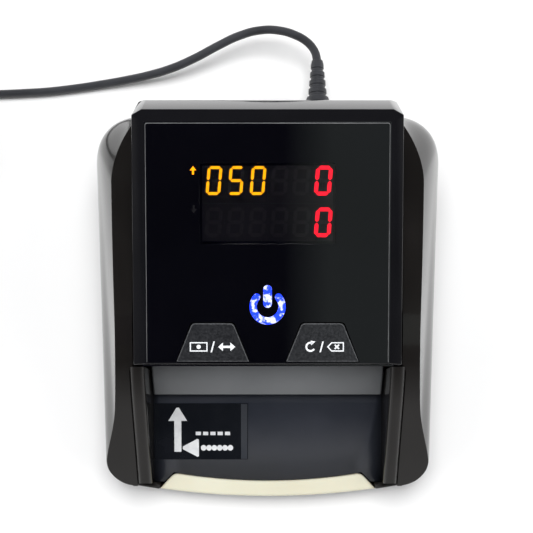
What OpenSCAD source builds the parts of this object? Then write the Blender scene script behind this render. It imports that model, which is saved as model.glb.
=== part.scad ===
// Automatic banknote counter with a lifting head.
// Origin: on the table under the middle of the machine. X right, Y back, Z up, millimetres.

/* [Base] */
// Half of the widest part of the base, at the rear third
base_half_w = 67.5; // [67:0.5:69]
// Half of the base's width just behind the front corners
base_front_half_w = 61; // [60:0.5:62]
// Distance from the origin to the front and to the rear
half_d = 71.5; // [71.5:0.5:73]
// Height of the rubber feet
foot_h = 2.5; // [2.2:0.1:3]
// Wall thickness of the bottom shell and covers
wall = 2.2; // [1.8:0.1:2.4]
// Top of the bottom shell, where the side covers start
shell_top = 11; // [10.5:0.5:11.5]

/* [Note path] */
// Half of the width of the tray between its rails
tray_half_w = 43.7; // [43:0.1:43.8]
// Height of the deck at the feed slot
feed_z = 16.5; // [16.5:0.1:16.8]
// Height of the deck at the exit
exit_z = 26.5; // [26.5:0.1:26.8]
// Clear height between the deck and the upper guide
path_gap = 5; // [4.8:0.1:5.2]
// Thickness of the deck
deck_t = 1.8; // [1.6:0.1:1.8]

/* [Rollers] */
// Radius of the rubber drive rollers
drive_r = 6.2; // [6.1:0.05:6.3]
// Radius of the idler rollers in the head
idler_r = 5.2; // [5.1:0.05:5.3]
// Space left between a drive roller and its idler
nip = 0.3; // [0.2:0.05:0.4]
// Radius of the drive shafts
shaft_r = 1.5; // [1.4:0.05:1.5]
// Radius of the idler axles
axle_r = 1.2; // [1.1:0.05:1.2]

/* [Head] */
// Half of the width of the head
head_half_w = 47.2; // [47:0.1:47.4]
// Slope of the display panel, in degrees
panel_tilt = 13.8; // [13.5:0.1:14]
// Half of the width of the display panel
panel_half_w = 42.6; // [42:0.1:42.8]
// Length of the display panel along its slope
panel_len = 83.6; // [83:0.1:84]
// Thickness of the display panel
panel_t = 2; // [1.8:0.1:2]

/* [Keys] */
// Distance of each key's middle from the head's middle
key_x = 19.2; // [19:0.1:19.5]
// Half of a key's front edge and half of its back edge
key_front_half = 12.7; // [12.5:0.1:12.8]
key_back_half = 7.2; // [7:0.1:7.4]
// Length of a key along the panel
key_len = 13.5; // [13:0.1:13.8]

/* [Hidden] */
$fn = 48;
eps = 0.05;

// Note path: level at the feed slot, a ramp, then level again to the exit
mouth_y = -36;
tray_front_y = -66.4;
tray_front_z = 9.3;
ramp_y0 = 8;
ramp_y1 = 30;
front_shaft = [-10, feed_z + path_gap / 2 - drive_r];
rear_shaft = [56, exit_z + path_gap / 2 - drive_r];
front_axle = [front_shaft[0], feed_z + path_gap / 2 + nip + idler_r];
rear_axle = [rear_shaft[0], exit_z + path_gap / 2 + nip + idler_r];
roller_x = [-34, -11, 11, 34];
roller_w = 9;
roller_gap = 0.8;

// Side frames, hinge and drive
plate_in = 48.4;
plate_t = 2;
hinge = [64, 36];
pin_r = 3;
floor_t = 2.4;
floor_z = foot_h + floor_t;
motor_at = [36, 13.5];
motor_r = 1;
pulley_r = 6.5;
motor_pulley_r = 2.6;
flange = 1;
belt_t = 0.8;
belt_w = 2;
belt_clear = 0.2;
belt1_x = -53.6;
belt2_x = -57.2;

// Power socket and cord
jack_x = 20.5;
jack_z = 13;
barrel_r = 2.75;
cord_r = 1.75;
coil_at = [-152, 68.5];
coil_mean_r = 21;
coil_half = 2 * cord_r + 2;
coil_h = 3 * 2 * cord_r + 0.1;
coil_end_z = 8.75;
adapter_at = [coil_at[0] - coil_mean_r - 2 * cord_r, -8];
cord_route = [[jack_x, 104, jack_z], [19.5, 108, 13], [16.5, 112, 13], [12, 115, 12.8], [5, 117.5, 12.2],
    [-3, 118, 11.4], [-12, 116, 10.2], [-21, 112, 9], [-30, 107.5, 7.6], [-40, 103.5, 6],
    [-50, 101, 4.4], [-60, 99.3, 3], [-70, 97.8, 2.1], [-80, 96.3, 1.8], [-92, 94.8, 1.75],
    [-104, 94, 1.75], [-116, 93.5, 1.75], [-127, 93.2, 1.75], [-134.5, 93, 1.75]];
tail_route = [[adapter_at[0], 52, coil_end_z], [adapter_at[0], 46, coil_end_z],
    [adapter_at[0], 40, coil_end_z], [adapter_at[0], 34, coil_end_z]];

// Height of the shoulders along Y: a slope beside the tray that rounds into a nearly level top
slope_front = [-67, 15];
slope_rate = 0.767;
knee_y0 = -38;
knee_y1 = -6;
top_rate = 0.06;
knee_z0 = slope_front[1] + slope_rate * (knee_y0 - slope_front[0]);
knee_len = knee_y1 - knee_y0;
function knee_z(t) = knee_z0 + knee_len * (slope_rate * t - (slope_rate - top_rate) * t * t / 2);
knee_steps = 8;
top_end = knee_z(1) + top_rate * (80 - knee_y1);
shoulder_line = concat([[slope_front[0] - 13, slope_front[1] - 13 * slope_rate]],
    [for (i = [0 : knee_steps]) [knee_y0 + knee_len * i / knee_steps, knee_z(i / knee_steps)]],
    [[80, top_end]]);

// Points of an arc in degrees, and of the convex plan outline of the base
function arc(c, r, a0, a1, n) = [for (i = [0 : n]) let (a = a0 + (a1 - a0) * i / n)
    [c[0] + r * cos(a), c[1] + r * sin(a)]];
bow_r = 300;
corner_r = 11;
function half_plan(w, rear_y, rear_r, sweep, front_w, d) = concat(
    arc([w - rear_r, rear_y], rear_r - d, sweep, 0, 12),
    arc([front_w - corner_r, -half_d + corner_r + 4.3], corner_r - d, 0, -80, 8),
    arc([0, bow_r - half_d], bow_r - d, -81, -90, 6));
function mirrored(pts) = concat(pts, [for (i = [len(pts) - 2 : -1 : 0]) [-pts[i][0], pts[i][1]]]);
function low_plan(d) = mirrored(half_plan(base_half_w, half_d - 17, 17, 90, base_front_half_w, d));
function mid_plan(d) = mirrored(half_plan(64.2, half_d - 14, 14, 90, 54, d));
function top_plan(d) = mirrored(half_plan(54.6, 38, 50, 35, 50, d));

// A plate in the YZ plane: the shape's first coordinate lies along Y, the second along Z
module across(x0, x1) {
    translate([x0, 0, 0]) rotate([90, 0, 90]) linear_extrude(x1 - x0) children();
}
// A round bar along X at a [y, z] place
module bar_x(at, x0, x1, r) {
    translate([x0, at[0], at[1]]) rotate([0, 90, 0]) cylinder(h = x1 - x0, r = r);
}
// A round bar along Y at an [x, z] place
module bar_y(at, y0, y1, r) {
    translate([at[0], y1, at[1]]) rotate([90, 0, 0]) cylinder(h = y1 - y0, r = r);
}
// A round bar from p to q
module rod(p, q, r) {
    v = q - p;
    translate(p) rotate([0, acos(v[2] / norm(v)), atan2(v[1], v[0])]) cylinder(h = norm(v), r = r);
}
// A block from its lowest corner to its highest
module block(p, q) {
    translate(p) cube(q - p);
}
module slab(pts, z) {
    translate([0, 0, z]) linear_extrude(0.01) polygon(pts);
}
// The display panel's own frame: x across, y up the slope, z out of the panel's surface
panel_y = -23.3;
panel_z = 51;
module on_panel() {
    translate([0, panel_y, panel_z]) rotate([panel_tilt, 0, 0]) children();
}
function panel_at(s, n) = [panel_y + s * cos(panel_tilt) - n * sin(panel_tilt),
    panel_z + s * sin(panel_tilt) + n * cos(panel_tilt)];

// ---- base ----

foot_places = [for (x = [-45, 45], y = [-54, 54]) [x, y]];
screw_places = [[-56.6, -50], [56.6, -50], [-57.5, 64.2], [57.5, 64.2]];
screw_r = 1.45;
screw_hole_r = 1.7;
boss_r = 3.4;

module bottom_shell() {
    color("#15161a") difference() {
        union() {
            difference() {
                translate([0, 0, foot_h]) linear_extrude(shell_top - foot_h) polygon(low_plan(0));
                translate([0, 0, floor_z]) linear_extrude(shell_top) polygon(low_plan(wall));
            }
            // rear sill under the exit, which also holds the power socket
            block([-head_half_w, half_d - wall, shell_top - 1], [head_half_w, half_d, exit_z - deck_t]);
            for (p = screw_places) translate([p[0], p[1], foot_h])
                cylinder(h = shell_top - foot_h, r = boss_r);
        }
        bar_y([jack_x, jack_z], half_d - wall - 1, half_d + 1, 4.1);
        for (p = screw_places) translate([p[0], p[1], 0]) {
            cylinder(h = 2 * shell_top, r = screw_hole_r);
            translate([0, 0, foot_h - 1]) cylinder(h = 2.9, r = 3);
        }
        // seat of the light bar in the front wall
        translate([0, 0, floor_z]) linear_extrude(shell_top) polygon(bar_pts(0.1));
    }
}

module rubber_feet() {
    color("#222222") for (p = foot_places) translate([p[0], p[1], 0]) cylinder(h = foot_h, r = 5);
}

module case_screws() {
    color("#8a8d92") for (p = screw_places) translate([p[0], p[1], foot_h + 0.3]) {
        difference() {
            cylinder(h = 1.5, r = 2.8);
            translate([0, 0, -0.1]) cylinder(h = 0.9, r = 1.1, $fn = 6);
        }
        cylinder(h = 12, r = screw_r);
    }
}

// Front light bar: the body's bowed outline in front, a shallower bow behind, slanted ends
bar_half = 41.5;
bar_back_half = 36;
bar_back_y = -62.6;
bar_h = 4.6;
function bar_pts(c) = concat(
    [for (i = [-8 : 8]) let (x = (bar_half + c) * i / 8)
        [x, bow_r - half_d - sqrt(bow_r * bow_r - x * x) - c]],
    [for (i = [8 : -1 : -8]) let (x = (bar_back_half + c) * i / 8)
        [x, bar_back_y + c - 3 * (1 - i * i / 64)]]);
module front_light_bar() {
    color("#f4efd6") translate([0, 0, floor_z]) linear_extrude(bar_h) polygon(bar_pts(0));
}

module light_bar_board() {
    color("#1d5c36") union() {
        block([-30, -59.6, floor_z], [30, -58.4, 8]);
        for (x = [-24 : 8 : 24]) block([x - 1, -60.5, 5.8], [x + 1, -59.55, 7.2]);
    }
}

// Deck: tray floor, level feed, ramp and level exit, with the two tray rails moulded on
deck_top = [[tray_front_y, tray_front_z], [mouth_y, feed_z], [ramp_y0, feed_z],
    [ramp_y1, exit_z], [half_d - 0.1, exit_z]];
function lowered(pts, d) = [for (i = [len(pts) - 1 : -1 : 0]) [pts[i][0], pts[i][1] - d]];
rail_w = 5.4;
rail_end_y = -24.5;
rail_rise = 1.6;
module rail_side() {
    intersection() {
        polygon(concat([[-80, 0]], [for (p = shoulder_line) [p[0], p[1] + rail_rise]], [[80, 0]]));
        polygon([[tray_front_y, tray_front_z - deck_t], [mouth_y, feed_z - deck_t],
            [rail_end_y, feed_z - deck_t], [rail_end_y, 60], [tray_front_y, 60]]);
    }
}
module roller_windows(at, r) {
    for (x = roller_x)
        block([x - roller_w / 2 - roller_gap, at[0] - r, at[1] - 12],
            [x + roller_w / 2 + roller_gap, at[0] + r, at[1] + 12]);
}
module tray_deck() {
    color("#23262e") difference() {
        union() {
            across(-tray_half_w, tray_half_w) polygon(concat(deck_top, lowered(deck_top, deck_t)));
            across(-plate_in + 0.6, plate_in - 0.6) intersection() {
                polygon(concat(deck_top, lowered(deck_top, deck_t)));
                polygon([[rail_end_y + 1, 0], [80, 0], [80, 60], [rail_end_y + 1, 60]]);
            }
            for (x = [-tray_half_w - rail_w, tray_half_w]) across(x, x + rail_w) rail_side();
        }
        linear_extrude(40) polygon(bar_pts(0.15));
        // room for the bottom shell's wall
        linear_extrude(shell_top + 0.1) difference() {
            square(300, center = true);
            polygon(low_plan(wall + 0.1));
        }
        roller_windows(front_shaft, drive_r + roller_gap);
        roller_windows(rear_shaft, drive_r + roller_gap);
        block([-mag_half - 0.2, mag_y0 - 0.2, 10], [mag_half + 0.2, mag_y1 + 0.2, 20]);
        block([-sensor_half - 0.2, sensor_y0 - 0.2, 20], [sensor_half + 0.2, sensor_y1 + 0.2, 30]);
    }
}

// Label stuck on the tray floor
label_x = [-43.2, -7.6];
label_y = [-57.6, -36.4];
label_t = 0.3;
tray_rate = (feed_z - tray_front_z) / (mouth_y - tray_front_y);
function tray_z(y) = tray_front_z + tray_rate * (y - tray_front_y);
module tray_label() {
    color("#08090c") across(label_x[0], label_x[1]) polygon([
        [label_y[0], tray_z(label_y[0])], [label_y[1], tray_z(label_y[1])],
        [label_y[1], tray_z(label_y[1]) + label_t], [label_y[0], tray_z(label_y[0]) + label_t]]);
}

// Side covers: a wall that leans in and rounds at the rear, closed by the sloping shoulder
cover_z = [shell_top, 18, 36, 56.6];
module cover_body(d, low) {
    intersection() {
        union() {
            translate([0, 0, cover_z[0] - low]) linear_extrude(cover_z[1] - cover_z[0] + low)
                polygon(low_plan(d));
            hull() {
                slab(low_plan(d), cover_z[1]);
                slab(mid_plan(d), cover_z[2]);
            }
            hull() {
                slab(mid_plan(d), cover_z[2]);
                slab(top_plan(d), cover_z[3]);
            }
        }
        across(-80, 80) polygon(concat([[-80, 0]], [for (p = shoulder_line) [p[0], p[1] - d]],
            [[80, 0]]));
    }
}
cover_in = 47.9;
flange_z = 47.2;
module right_cover_shape() {
    difference() {
        union() {
            difference() {
                cover_body(0, 0);
                difference() {
                    cover_body(wall, 1);
                    // short flange beside the head
                    block([0, rail_end_y - 1, flange_z], [cover_in + 1.6, 80, 80]);
                }
                block([-80, -80, 0], [cover_in, 80, 80]);
                block([0, -80, 0], [tray_half_w + rail_w + 0.2, rail_end_y + 0.2, 80]);
            }
            for (p = screw_places) if (p[0] > 0) translate([p[0], p[1], shell_top])
                cylinder(h = 4, r = boss_r);
        }
        for (p = screw_places) translate([p[0], p[1], 0]) cylinder(h = 16, r = screw_r + eps);
    }
}
module right_side_cover() {
    color("#1a1b1f") right_cover_shape();
}
module left_side_cover() {
    color("#1a1b1f") mirror([1, 0, 0]) right_cover_shape();
}

module plate_shape() {
    polygon([[-23.5, floor_z], [68.5, floor_z], [68.5, 36], [65, 43], [60, 46], [-16, 46], [-23.5, 38]]);
}
bush_r = 3.5;
boss_hole_r = 3.2;
harness_r = 1.2;
harness_hole = [20, 12];
module left_bearing_plate() {
    color("#9a9da2") difference() {
        across(-plate_in - plate_t, -plate_in) plate_shape();
        for (p = [front_shaft, rear_shaft]) bar_x(p, -60, -40, bush_r + eps);
        bar_x(motor_at, -60, -40, boss_hole_r);
        bar_x(hinge, -60, -40, pin_r + eps);
    }
}
module right_bearing_plate() {
    color("#9a9da2") difference() {
        across(plate_in, plate_in + plate_t) plate_shape();
        for (p = [front_shaft, rear_shaft]) bar_x(p, 40, 60, bush_r + eps);
        bar_x(harness_hole, 40, 60, 2);
        bar_x(hinge, 40, 60, pin_r + eps);
    }
}
module shaft_bushes() {
    color("#b08d57") for (p = [front_shaft, rear_shaft], s = [-1, 1]) difference() {
        bar_x(p, s * (plate_in + plate_t / 2) - 1.2, s * (plate_in + plate_t / 2) + 1.2, bush_r);
        bar_x(p, -60, 60, shaft_r + eps);
    }
}
// Hinge pins: the right one is hollow for the wiring
module hinge_pins() {
    color("#b9bcc0") {
        difference() {
            union() {
                bar_x(hinge, 45.3, plate_in + plate_t, pin_r);
                bar_x(hinge, plate_in + plate_t, plate_in + plate_t + 1, pin_r + 1.5);
            }
            bar_x(hinge, 40, 60, harness_r + 0.4);
        }
        bar_x(hinge, -plate_in - plate_t, -45.3, pin_r);
        bar_x(hinge, -plate_in - plate_t - 1, -plate_in - plate_t, pin_r + 1.5);
    }
}

// ---- drive ----

motor_x = [-47.9, -23];
motor_half = [10, 7.7];
module motor() {
    color("#a5a8ad") difference() {
        union() {
            intersection() {
                bar_x(motor_at, motor_x[0], motor_x[1], motor_half[0]);
                block([motor_x[0], 0, motor_at[1] - motor_half[1]],
                    [motor_x[1], 60, motor_at[1] + motor_half[1]]);
            }
            bar_x(motor_at, motor_x[0] - 2, motor_x[0] + 1, 3);
        }
        bar_x(motor_at, -60, motor_x[1] - 2, motor_r + eps);
    }
}
strap_t = 0.8;
module motor_strap() {
    y0 = motor_at[0] - motor_half[0] - 0.1;
    y1 = motor_at[0] + motor_half[0] + 0.1;
    z1 = motor_at[1] + motor_half[1] + 0.1;
    color("#8f9297") difference() {
        union() {
            block([-40, y0 - strap_t, floor_z], [-32, y1 + strap_t, z1 + strap_t]);
            block([-40, y0 - 6, floor_z], [-32, y1 + 6, floor_z + strap_t]);
        }
        block([-41, y0, 0], [-31, y1, z1]);
        for (y = [y0 - 3.5, y1 + 3.5]) translate([-36, y, 0]) cylinder(h = 10, r = 1.2);
    }
}
module motor_shaft() {
    color("#c9ccd0") bar_x(motor_at, belt1_x - 0.7, motor_x[1] - 3, motor_r);
}
module grooved(at, x, r) {
    bar_x(at, x, x + belt_w + 0.4, r);
    for (e = [x - 0.4, x + belt_w + 0.4]) bar_x(at, e, e + 0.4, r + flange);
}
module motor_pulley() {
    color("#d9d4c4") difference() {
        grooved(motor_at, belt1_x - 0.2, motor_pulley_r);
        bar_x(motor_at, -60, -40, motor_r + 0.01);
    }
}
module front_pulley() {
    color("#d9d4c4") difference() {
        union() {
            grooved(front_shaft, belt2_x - 0.2, pulley_r);
            bar_x(front_shaft, belt2_x + belt_w + 0.4, -52, 3);
        }
        bar_x(front_shaft, -60, -40, shaft_r + 0.01);
    }
}
module rear_pulley() {
    color("#d9d4c4") difference() {
        union() {
            grooved(rear_shaft, belt1_x - 0.2, pulley_r);
            grooved(rear_shaft, belt2_x - 0.2, pulley_r);
            bar_x(rear_shaft, belt2_x, belt1_x, 4);
        }
        bar_x(rear_shaft, -60, -40, shaft_r + 0.01);
    }
}
module belt_loop(p, rp, q, rq, x) {
    across(x, x + belt_w) difference() {
        hull() {
            translate(p) circle(rp + belt_clear + belt_t);
            translate(q) circle(rq + belt_clear + belt_t);
        }
        hull() {
            translate(p) circle(rp + belt_clear);
            translate(q) circle(rq + belt_clear);
        }
    }
}
module motor_belt() {
    color("#101010") belt_loop(motor_at, motor_pulley_r, rear_shaft, pulley_r, belt1_x);
}
module transfer_belt() {
    color("#101010") belt_loop(front_shaft, pulley_r, rear_shaft, pulley_r, belt2_x);
}
module drive_shaft(at) {
    color("#c9ccd0") bar_x(at, -58.2, 54.5, shaft_r);
}
module drive_rollers(at) {
    color("#35383c") for (x = roller_x) difference() {
        bar_x(at, x - roller_w / 2, x + roller_w / 2, drive_r);
        bar_x(at, x - roller_w, x + roller_w, shaft_r + 0.01);
    }
}
module front_drive_shaft() {
    drive_shaft(front_shaft);
}
module rear_drive_shaft() {
    drive_shaft(rear_shaft);
}
module front_drive_rollers() {
    drive_rollers(front_shaft);
}
module rear_drive_rollers() {
    drive_rollers(rear_shaft);
}
disc_x = 52.6;
slots = 12;
module encoder_disc() {
    color("#2b2b2b") difference() {
        union() {
            bar_x(front_shaft, disc_x, disc_x + 0.8, 6.5);
            bar_x(front_shaft, disc_x - 0.8, disc_x + 1.6, 2.8);
        }
        bar_x(front_shaft, 40, 60, shaft_r + 0.01);
        for (i = [0 : slots - 1]) translate([disc_x, front_shaft[0], front_shaft[1]])
            rotate([360 * i / slots, 0, 0]) block([-1, 4, -0.4], [2, 5.7, 0.4]);
    }
}
module encoder_sensor() {
    color("#1c1c1e") difference() {
        block([50.6, front_shaft[0] + 4, floor_z], [56.2, front_shaft[0] + 11, 17]);
        block([disc_x - 0.7, front_shaft[0] + 3, floor_z + 1.5], [disc_x + 1.5, front_shaft[0] + 8, 18]);
    }
}

// ---- sensors and electronics in the base ----

mag_half = 9;
mag_y0 = 0;
mag_y1 = 6;
module magnetic_head() {
    color("#b4b7bb") block([-mag_half, mag_y0, 9], [mag_half, mag_y1, feed_z]);
}
sensor_half = 38;
sensor_y0 = 36.5;
sensor_y1 = 43.5;
module lower_sensor_bar() {
    color("#1f3f6a") block([-sensor_half, sensor_y0, 22.4], [sensor_half, sensor_y1, exit_z]);
}
board_z = 7;
board_t = 1.6;
module main_board() {
    color("#1d5c36") union() {
        block([-16, 8, board_z], [44, 66, board_z + board_t]);
        for (x = [-12, 40], y = [12, 52]) translate([x, y, floor_z])
            cylinder(h = board_z - floor_z, r = 2.5);
    }
}
module board_parts() {
    top = board_z + board_t;
    color("#26282c") {
        block([6, 24, top], [18, 36, top + 1.4]);
        block([24, 30, top], [32, 38, top + 1.2]);
        block([-12, 24, top], [-2, 28, top + 3]);
        block([-12, 44, top], [-4, 49, top + 2.5]);
        block([34, 14, top], [43, 24, top + 5]);
        for (p = [[0, 46], [8, 46], [34, 48]]) translate([p[0], p[1], top]) cylinder(h = 5.5, r = 2.8);
        translate([10, 14, top]) cylinder(h = 4.5, r = 4.5);
    }
}
jack_y = [57.2, half_d - wall];
module dc_jack() {
    color("#141414") difference() {
        union() {
            block([jack_x - 4.4, jack_y[0], board_z + board_t], [jack_x + 4.4, jack_y[1] - eps, 17.5]);
            bar_y([jack_x, jack_z], jack_y[1] - 1, half_d - 0.1, 4);
        }
        bar_y([jack_x, jack_z], 60, half_d + 1, barrel_r + eps);
    }
    color("#c8c8c8") bar_y([jack_x, jack_z], 59.5, 70, 1);
}
harness = [[43, 20, 12], [54, 20, 12], [54, hinge[0], hinge[1]], [42, hinge[0], hinge[1]]];
module wiring_harness() {
    color("#3a3d44") {
        for (i = [0 : 2]) rod(harness[i], harness[i + 1], harness_r);
        for (i = [1 : 2]) translate(harness[i]) sphere(1.2 * harness_r);
    }
}

// ---- head ----

bevel_drop = 1.3;
rear_round = [59.4, 53.65];
rear_round_r = 12;
rear_round_a = 32.7;
head_front_y = -20.5;
head_rear_y = rear_round[0] + rear_round_r;
guide_bottom = [[head_front_y, feed_z + path_gap], [ramp_y0, feed_z + path_gap],
    [ramp_y1, exit_z + path_gap], [head_rear_y, exit_z + path_gap]];
function head_side(d) = concat(
    [panel_at(-1 + d, -bevel_drop - d), panel_at(88.2 - d, -bevel_drop - d)],
    arc(rear_round, rear_round_r - d, rear_round_a, 0, 6));
// Everything outside the chamfer between the right side and the sloping back face
module rear_chamfer() {
    normal = [0.478, 0.738, 0.476];
    translate([head_half_w, 60.4, 70.8]) rotate([0, acos(normal[2]), atan2(normal[1], normal[0])])
        translate([-50, -50, 0]) cube(100);
}
module bevel_slab(half, y0, y1, cut, z) {
    translate([0, 0, z]) linear_extrude(0.01) polygon([[-half, y0], [half, y0], [half, y1 - cut],
        [half - 1.4 * cut, y1], [-half + 1.4 * cut, y1], [-half, y1 - cut]]);
}
module key_outline(c, x) {
    translate([x, 0]) polygon([[-key_front_half - c, -c], [key_front_half + c, -c],
        [key_back_half + c, key_len + c], [-key_back_half - c, key_len + c]]);
}
window_half = 23.6;
window_y = [41.6, 69.7];
power_y = 19.7;
module head_shell() {
    color("#0b0b0d") union() {
        head_casing();
        // posts for the display board
        on_panel() for (x = [-37, 37], y = [22, 74])
            translate([x, y, board_n + board_t]) cylinder(h = -3 - board_n - board_t, r = 2.5);
    }
}
module head_casing() {
    difference() {
        union() {
            across(-head_half_w, head_half_w)
                polygon(concat(head_side(0), [for (i = [3 : -1 : 0]) guide_bottom[i]],
                    [[head_front_y, 40], panel_at(-1, -8)]));
            on_panel() hull() {
                bevel_slab(head_half_w, -1, 88.2, 2.5, -bevel_drop - 0.02);
                bevel_slab(43, -0.5, 84.1, 0.4, -0.01);
            }
        }
        rear_chamfer();
        mirror([1, 0, 0]) rear_chamfer();
        // inside of the head, open below
        across(-head_half_w + 2, head_half_w - 2)
            polygon(concat([panel_at(0.6, -4), panel_at(84, -4)],
                arc(rear_round, rear_round_r - 2.1, rear_round_a, 0, 6),
                [[head_rear_y - 2.1, 20], [head_front_y + 1.8, 20], [head_front_y + 1.8, 40],
                panel_at(0.6, -7.5)]));
        // the upper guide passes under the front wall
        block([-head_half_w + 2, -40, 10],
            [head_half_w - 2, head_front_y + 2, feed_z + path_gap + guide_t + 0.1]);
        // seats of the panel, display, power symbol and keys
        on_panel() {
            translate([0, 0, -panel_t]) linear_extrude(10)
                polygon([[-panel_half_w, 0], [panel_half_w, 0],
                    [panel_half_w, panel_len], [-panel_half_w, panel_len]]);
            block([-window_half + 0.5, window_y[0] + 0.5, -10],
                [window_half - 0.5, window_y[1] - 0.5, 1]);
            block([-7.6, power_y - 8.2, -10], [7.6, power_y + 9.2, 1]);
            for (s = [-1, 1]) translate([0, 0.35, -6.8]) linear_extrude(10) key_outline(0.3, s * key_x);
        }
        for (s = [-1, 1]) bar_x(hinge, s > 0 ? 44 : -50, s > 0 ? 50 : -44, pin_r + eps);
    }
}

symbol_r = 6.3;
symbol_in_r = 3.8;
symbol_gap = 49;
stem_half = 1.5;
symbol_mid_r = (symbol_r + symbol_in_r) / 2;
stem_span = [1.1, 6];
function ring_end(side) = symbol_mid_r * [cos(90 + side * symbol_gap), sin(90 + side * symbol_gap)];
module power_symbol(c) {
    w = (symbol_r - symbol_in_r) / 2 + c;
    a0 = 90 + symbol_gap;
    a1 = 450 - symbol_gap;
    polygon(concat(arc([0, 0], symbol_r + c, a0, a1, 30), arc(ring_end(-1), w, a1, a1 + 180, 8),
        arc([0, 0], symbol_in_r - c, a1, a0, 24), arc(ring_end(1), w, a0 + 180, a0 + 360, 8)));
    polygon(concat(arc([0, stem_span[1]], stem_half + c, 0, 180, 8),
        arc([0, stem_span[0]], stem_half + c, 180, 360, 8)));
}
module front_panel() {
    color("#030305") on_panel() difference() {
        translate([0, 0, -panel_t + 0.02]) linear_extrude(panel_t - 0.02)
            polygon([[-panel_half_w + 0.1, 0.1], [panel_half_w - 0.1, 0.1],
                [panel_half_w - 0.1, panel_len - 0.1], [-panel_half_w + 0.1, panel_len - 0.1]]);
        translate([0, 0, -5]) linear_extrude(10) {
            for (s = [-1, 1]) key_outline(0.45, s * key_x);
            translate([0, power_y]) power_symbol(0.05);
        }
        block([-window_half - eps, window_y[0] - eps, -5], [window_half + eps, window_y[1] + eps, 5]);
    }
}
module display_window() {
    color("#15151c", 0.5) on_panel()
        block([-window_half, window_y[0], -panel_t + 0.02], [window_half, window_y[1], 0]);
}
module power_light_guide() {
    color("#7088ff") on_panel() union() {
        block([-7.4, power_y - 8, -4.4], [7.4, power_y + 9, -panel_t]);
        translate([0, power_y, -panel_t - 0.1]) linear_extrude(panel_t + 0.1) power_symbol(0);
    }
}
board_n = -11.8;
module display_board() {
    color("#1d5c36") on_panel() block([-40, 3.4, board_n], [40, 78, board_n + board_t]);
}
digit_n = [board_n + board_t, -panel_t - 0.15];
digit_half = 22.95;
row_y = [42.3, 55.65, 69];
module digit_module(x0, x1, row) {
    on_panel() block([x0 + 0.03, row_y[row] + 0.03, digit_n[0]],
        [x1 - 0.03, row_y[row + 1] - 0.03, digit_n[1]]);
}
module currency_digits() {
    color("#c8741a") digit_module(-digit_half, 0, 1);
}
module count_digits() {
    color("#a02020") digit_module(0, digit_half, 1);
}
module total_digits() {
    color("#a02020") digit_module(-digit_half, digit_half, 0);
}
module key_switches() {
    color("#c0c0c4") on_panel() for (s = [-1, 1]) {
        block([s * key_x - 3, 4.2, board_n + board_t], [s * key_x + 3, 10.2, -7.4]);
        translate([s * key_x, 7.2, -7.5]) cylinder(h = 0.5, r = 1.7);
    }
}
key_top = 0.35;
module key_shape(x) {
    on_panel() union() {
        translate([0, 0.35, -5.4]) linear_extrude(5.4 + key_top) key_outline(0, x);
        intersection() {
            translate([0, 0.35, -5.4]) linear_extrude(1.2) key_outline(1.2, x);
            block([x - 20, 0.8, -6], [x + 20, 30, 0]);
        }
        translate([x, 7.2, -6]) cylinder(h = 1, r = 2);
    }
}
module left_key() {
    color("#3c3e42") key_shape(-key_x);
}
module right_key() {
    color("#3c3e42") key_shape(key_x);
}

// Upper guide with the funnel lip over the feed slot
guide_t = 1.6;
guide_half = head_half_w - 2.1;
lip_half = 43.1;
lip_y = -33.2;
module upper_note_guide() {
    z0 = feed_z + path_gap;
    z1 = exit_z + path_gap;
    color("#5b6066") difference() {
        union() {
            across(-guide_half, guide_half) polygon([[head_front_y, z0], [ramp_y0, z0], [ramp_y1, z1],
                [head_rear_y - 2.3, z1], [head_rear_y - 2.3, z1 + guide_t],
                [ramp_y1 - 0.3, z1 + guide_t], [ramp_y0 - 0.3, z0 + guide_t],
                [head_front_y, z0 + guide_t]]);
            across(-lip_half, lip_half) polygon([[lip_y, z0], [head_front_y + 1, z0],
                [head_front_y + 1, z0 + guide_t], [-28.6, z0 + guide_t], [-23.8, z0 + 7],
                [-20.7, z0 + 10.2], [-20.7, z0 + 12.4], [-25, z0 + 8.6], [lip_y, z0 + 0.7]]);
        }
        roller_windows(front_axle, idler_r + roller_gap);
        roller_windows(rear_axle, idler_r + roller_gap);
        block([-sensor_half - 0.2, sensor_y0 - 0.2, 25], [sensor_half + 0.2, sensor_y1 + 0.2, 36]);
    }
}
module upper_sensor_bar() {
    z0 = exit_z + path_gap;
    color("#1f3f6a") union() {
        block([-sensor_half, sensor_y0, z0], [sensor_half, sensor_y1, z0 + 3]);
        block([-sensor_half - 2, sensor_y0 - 2, z0 + 3], [sensor_half + 2, sensor_y1 + 2, z0 + 4]);
    }
}
holder_x = [-24, 24];
module idler_holder(at, z) {
    for (x = holder_x) difference() {
        block([x - 2, at[0] - 4, z], [x + 2, at[0] + 4, at[1] + 3]);
        bar_x(at, x - 5, x + 5, axle_r + eps);
    }
}
module idler_holders() {
    color("#e8e4da") {
        idler_holder(front_axle, feed_z + path_gap + guide_t);
        idler_holder(rear_axle, exit_z + path_gap + guide_t);
    }
}
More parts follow.
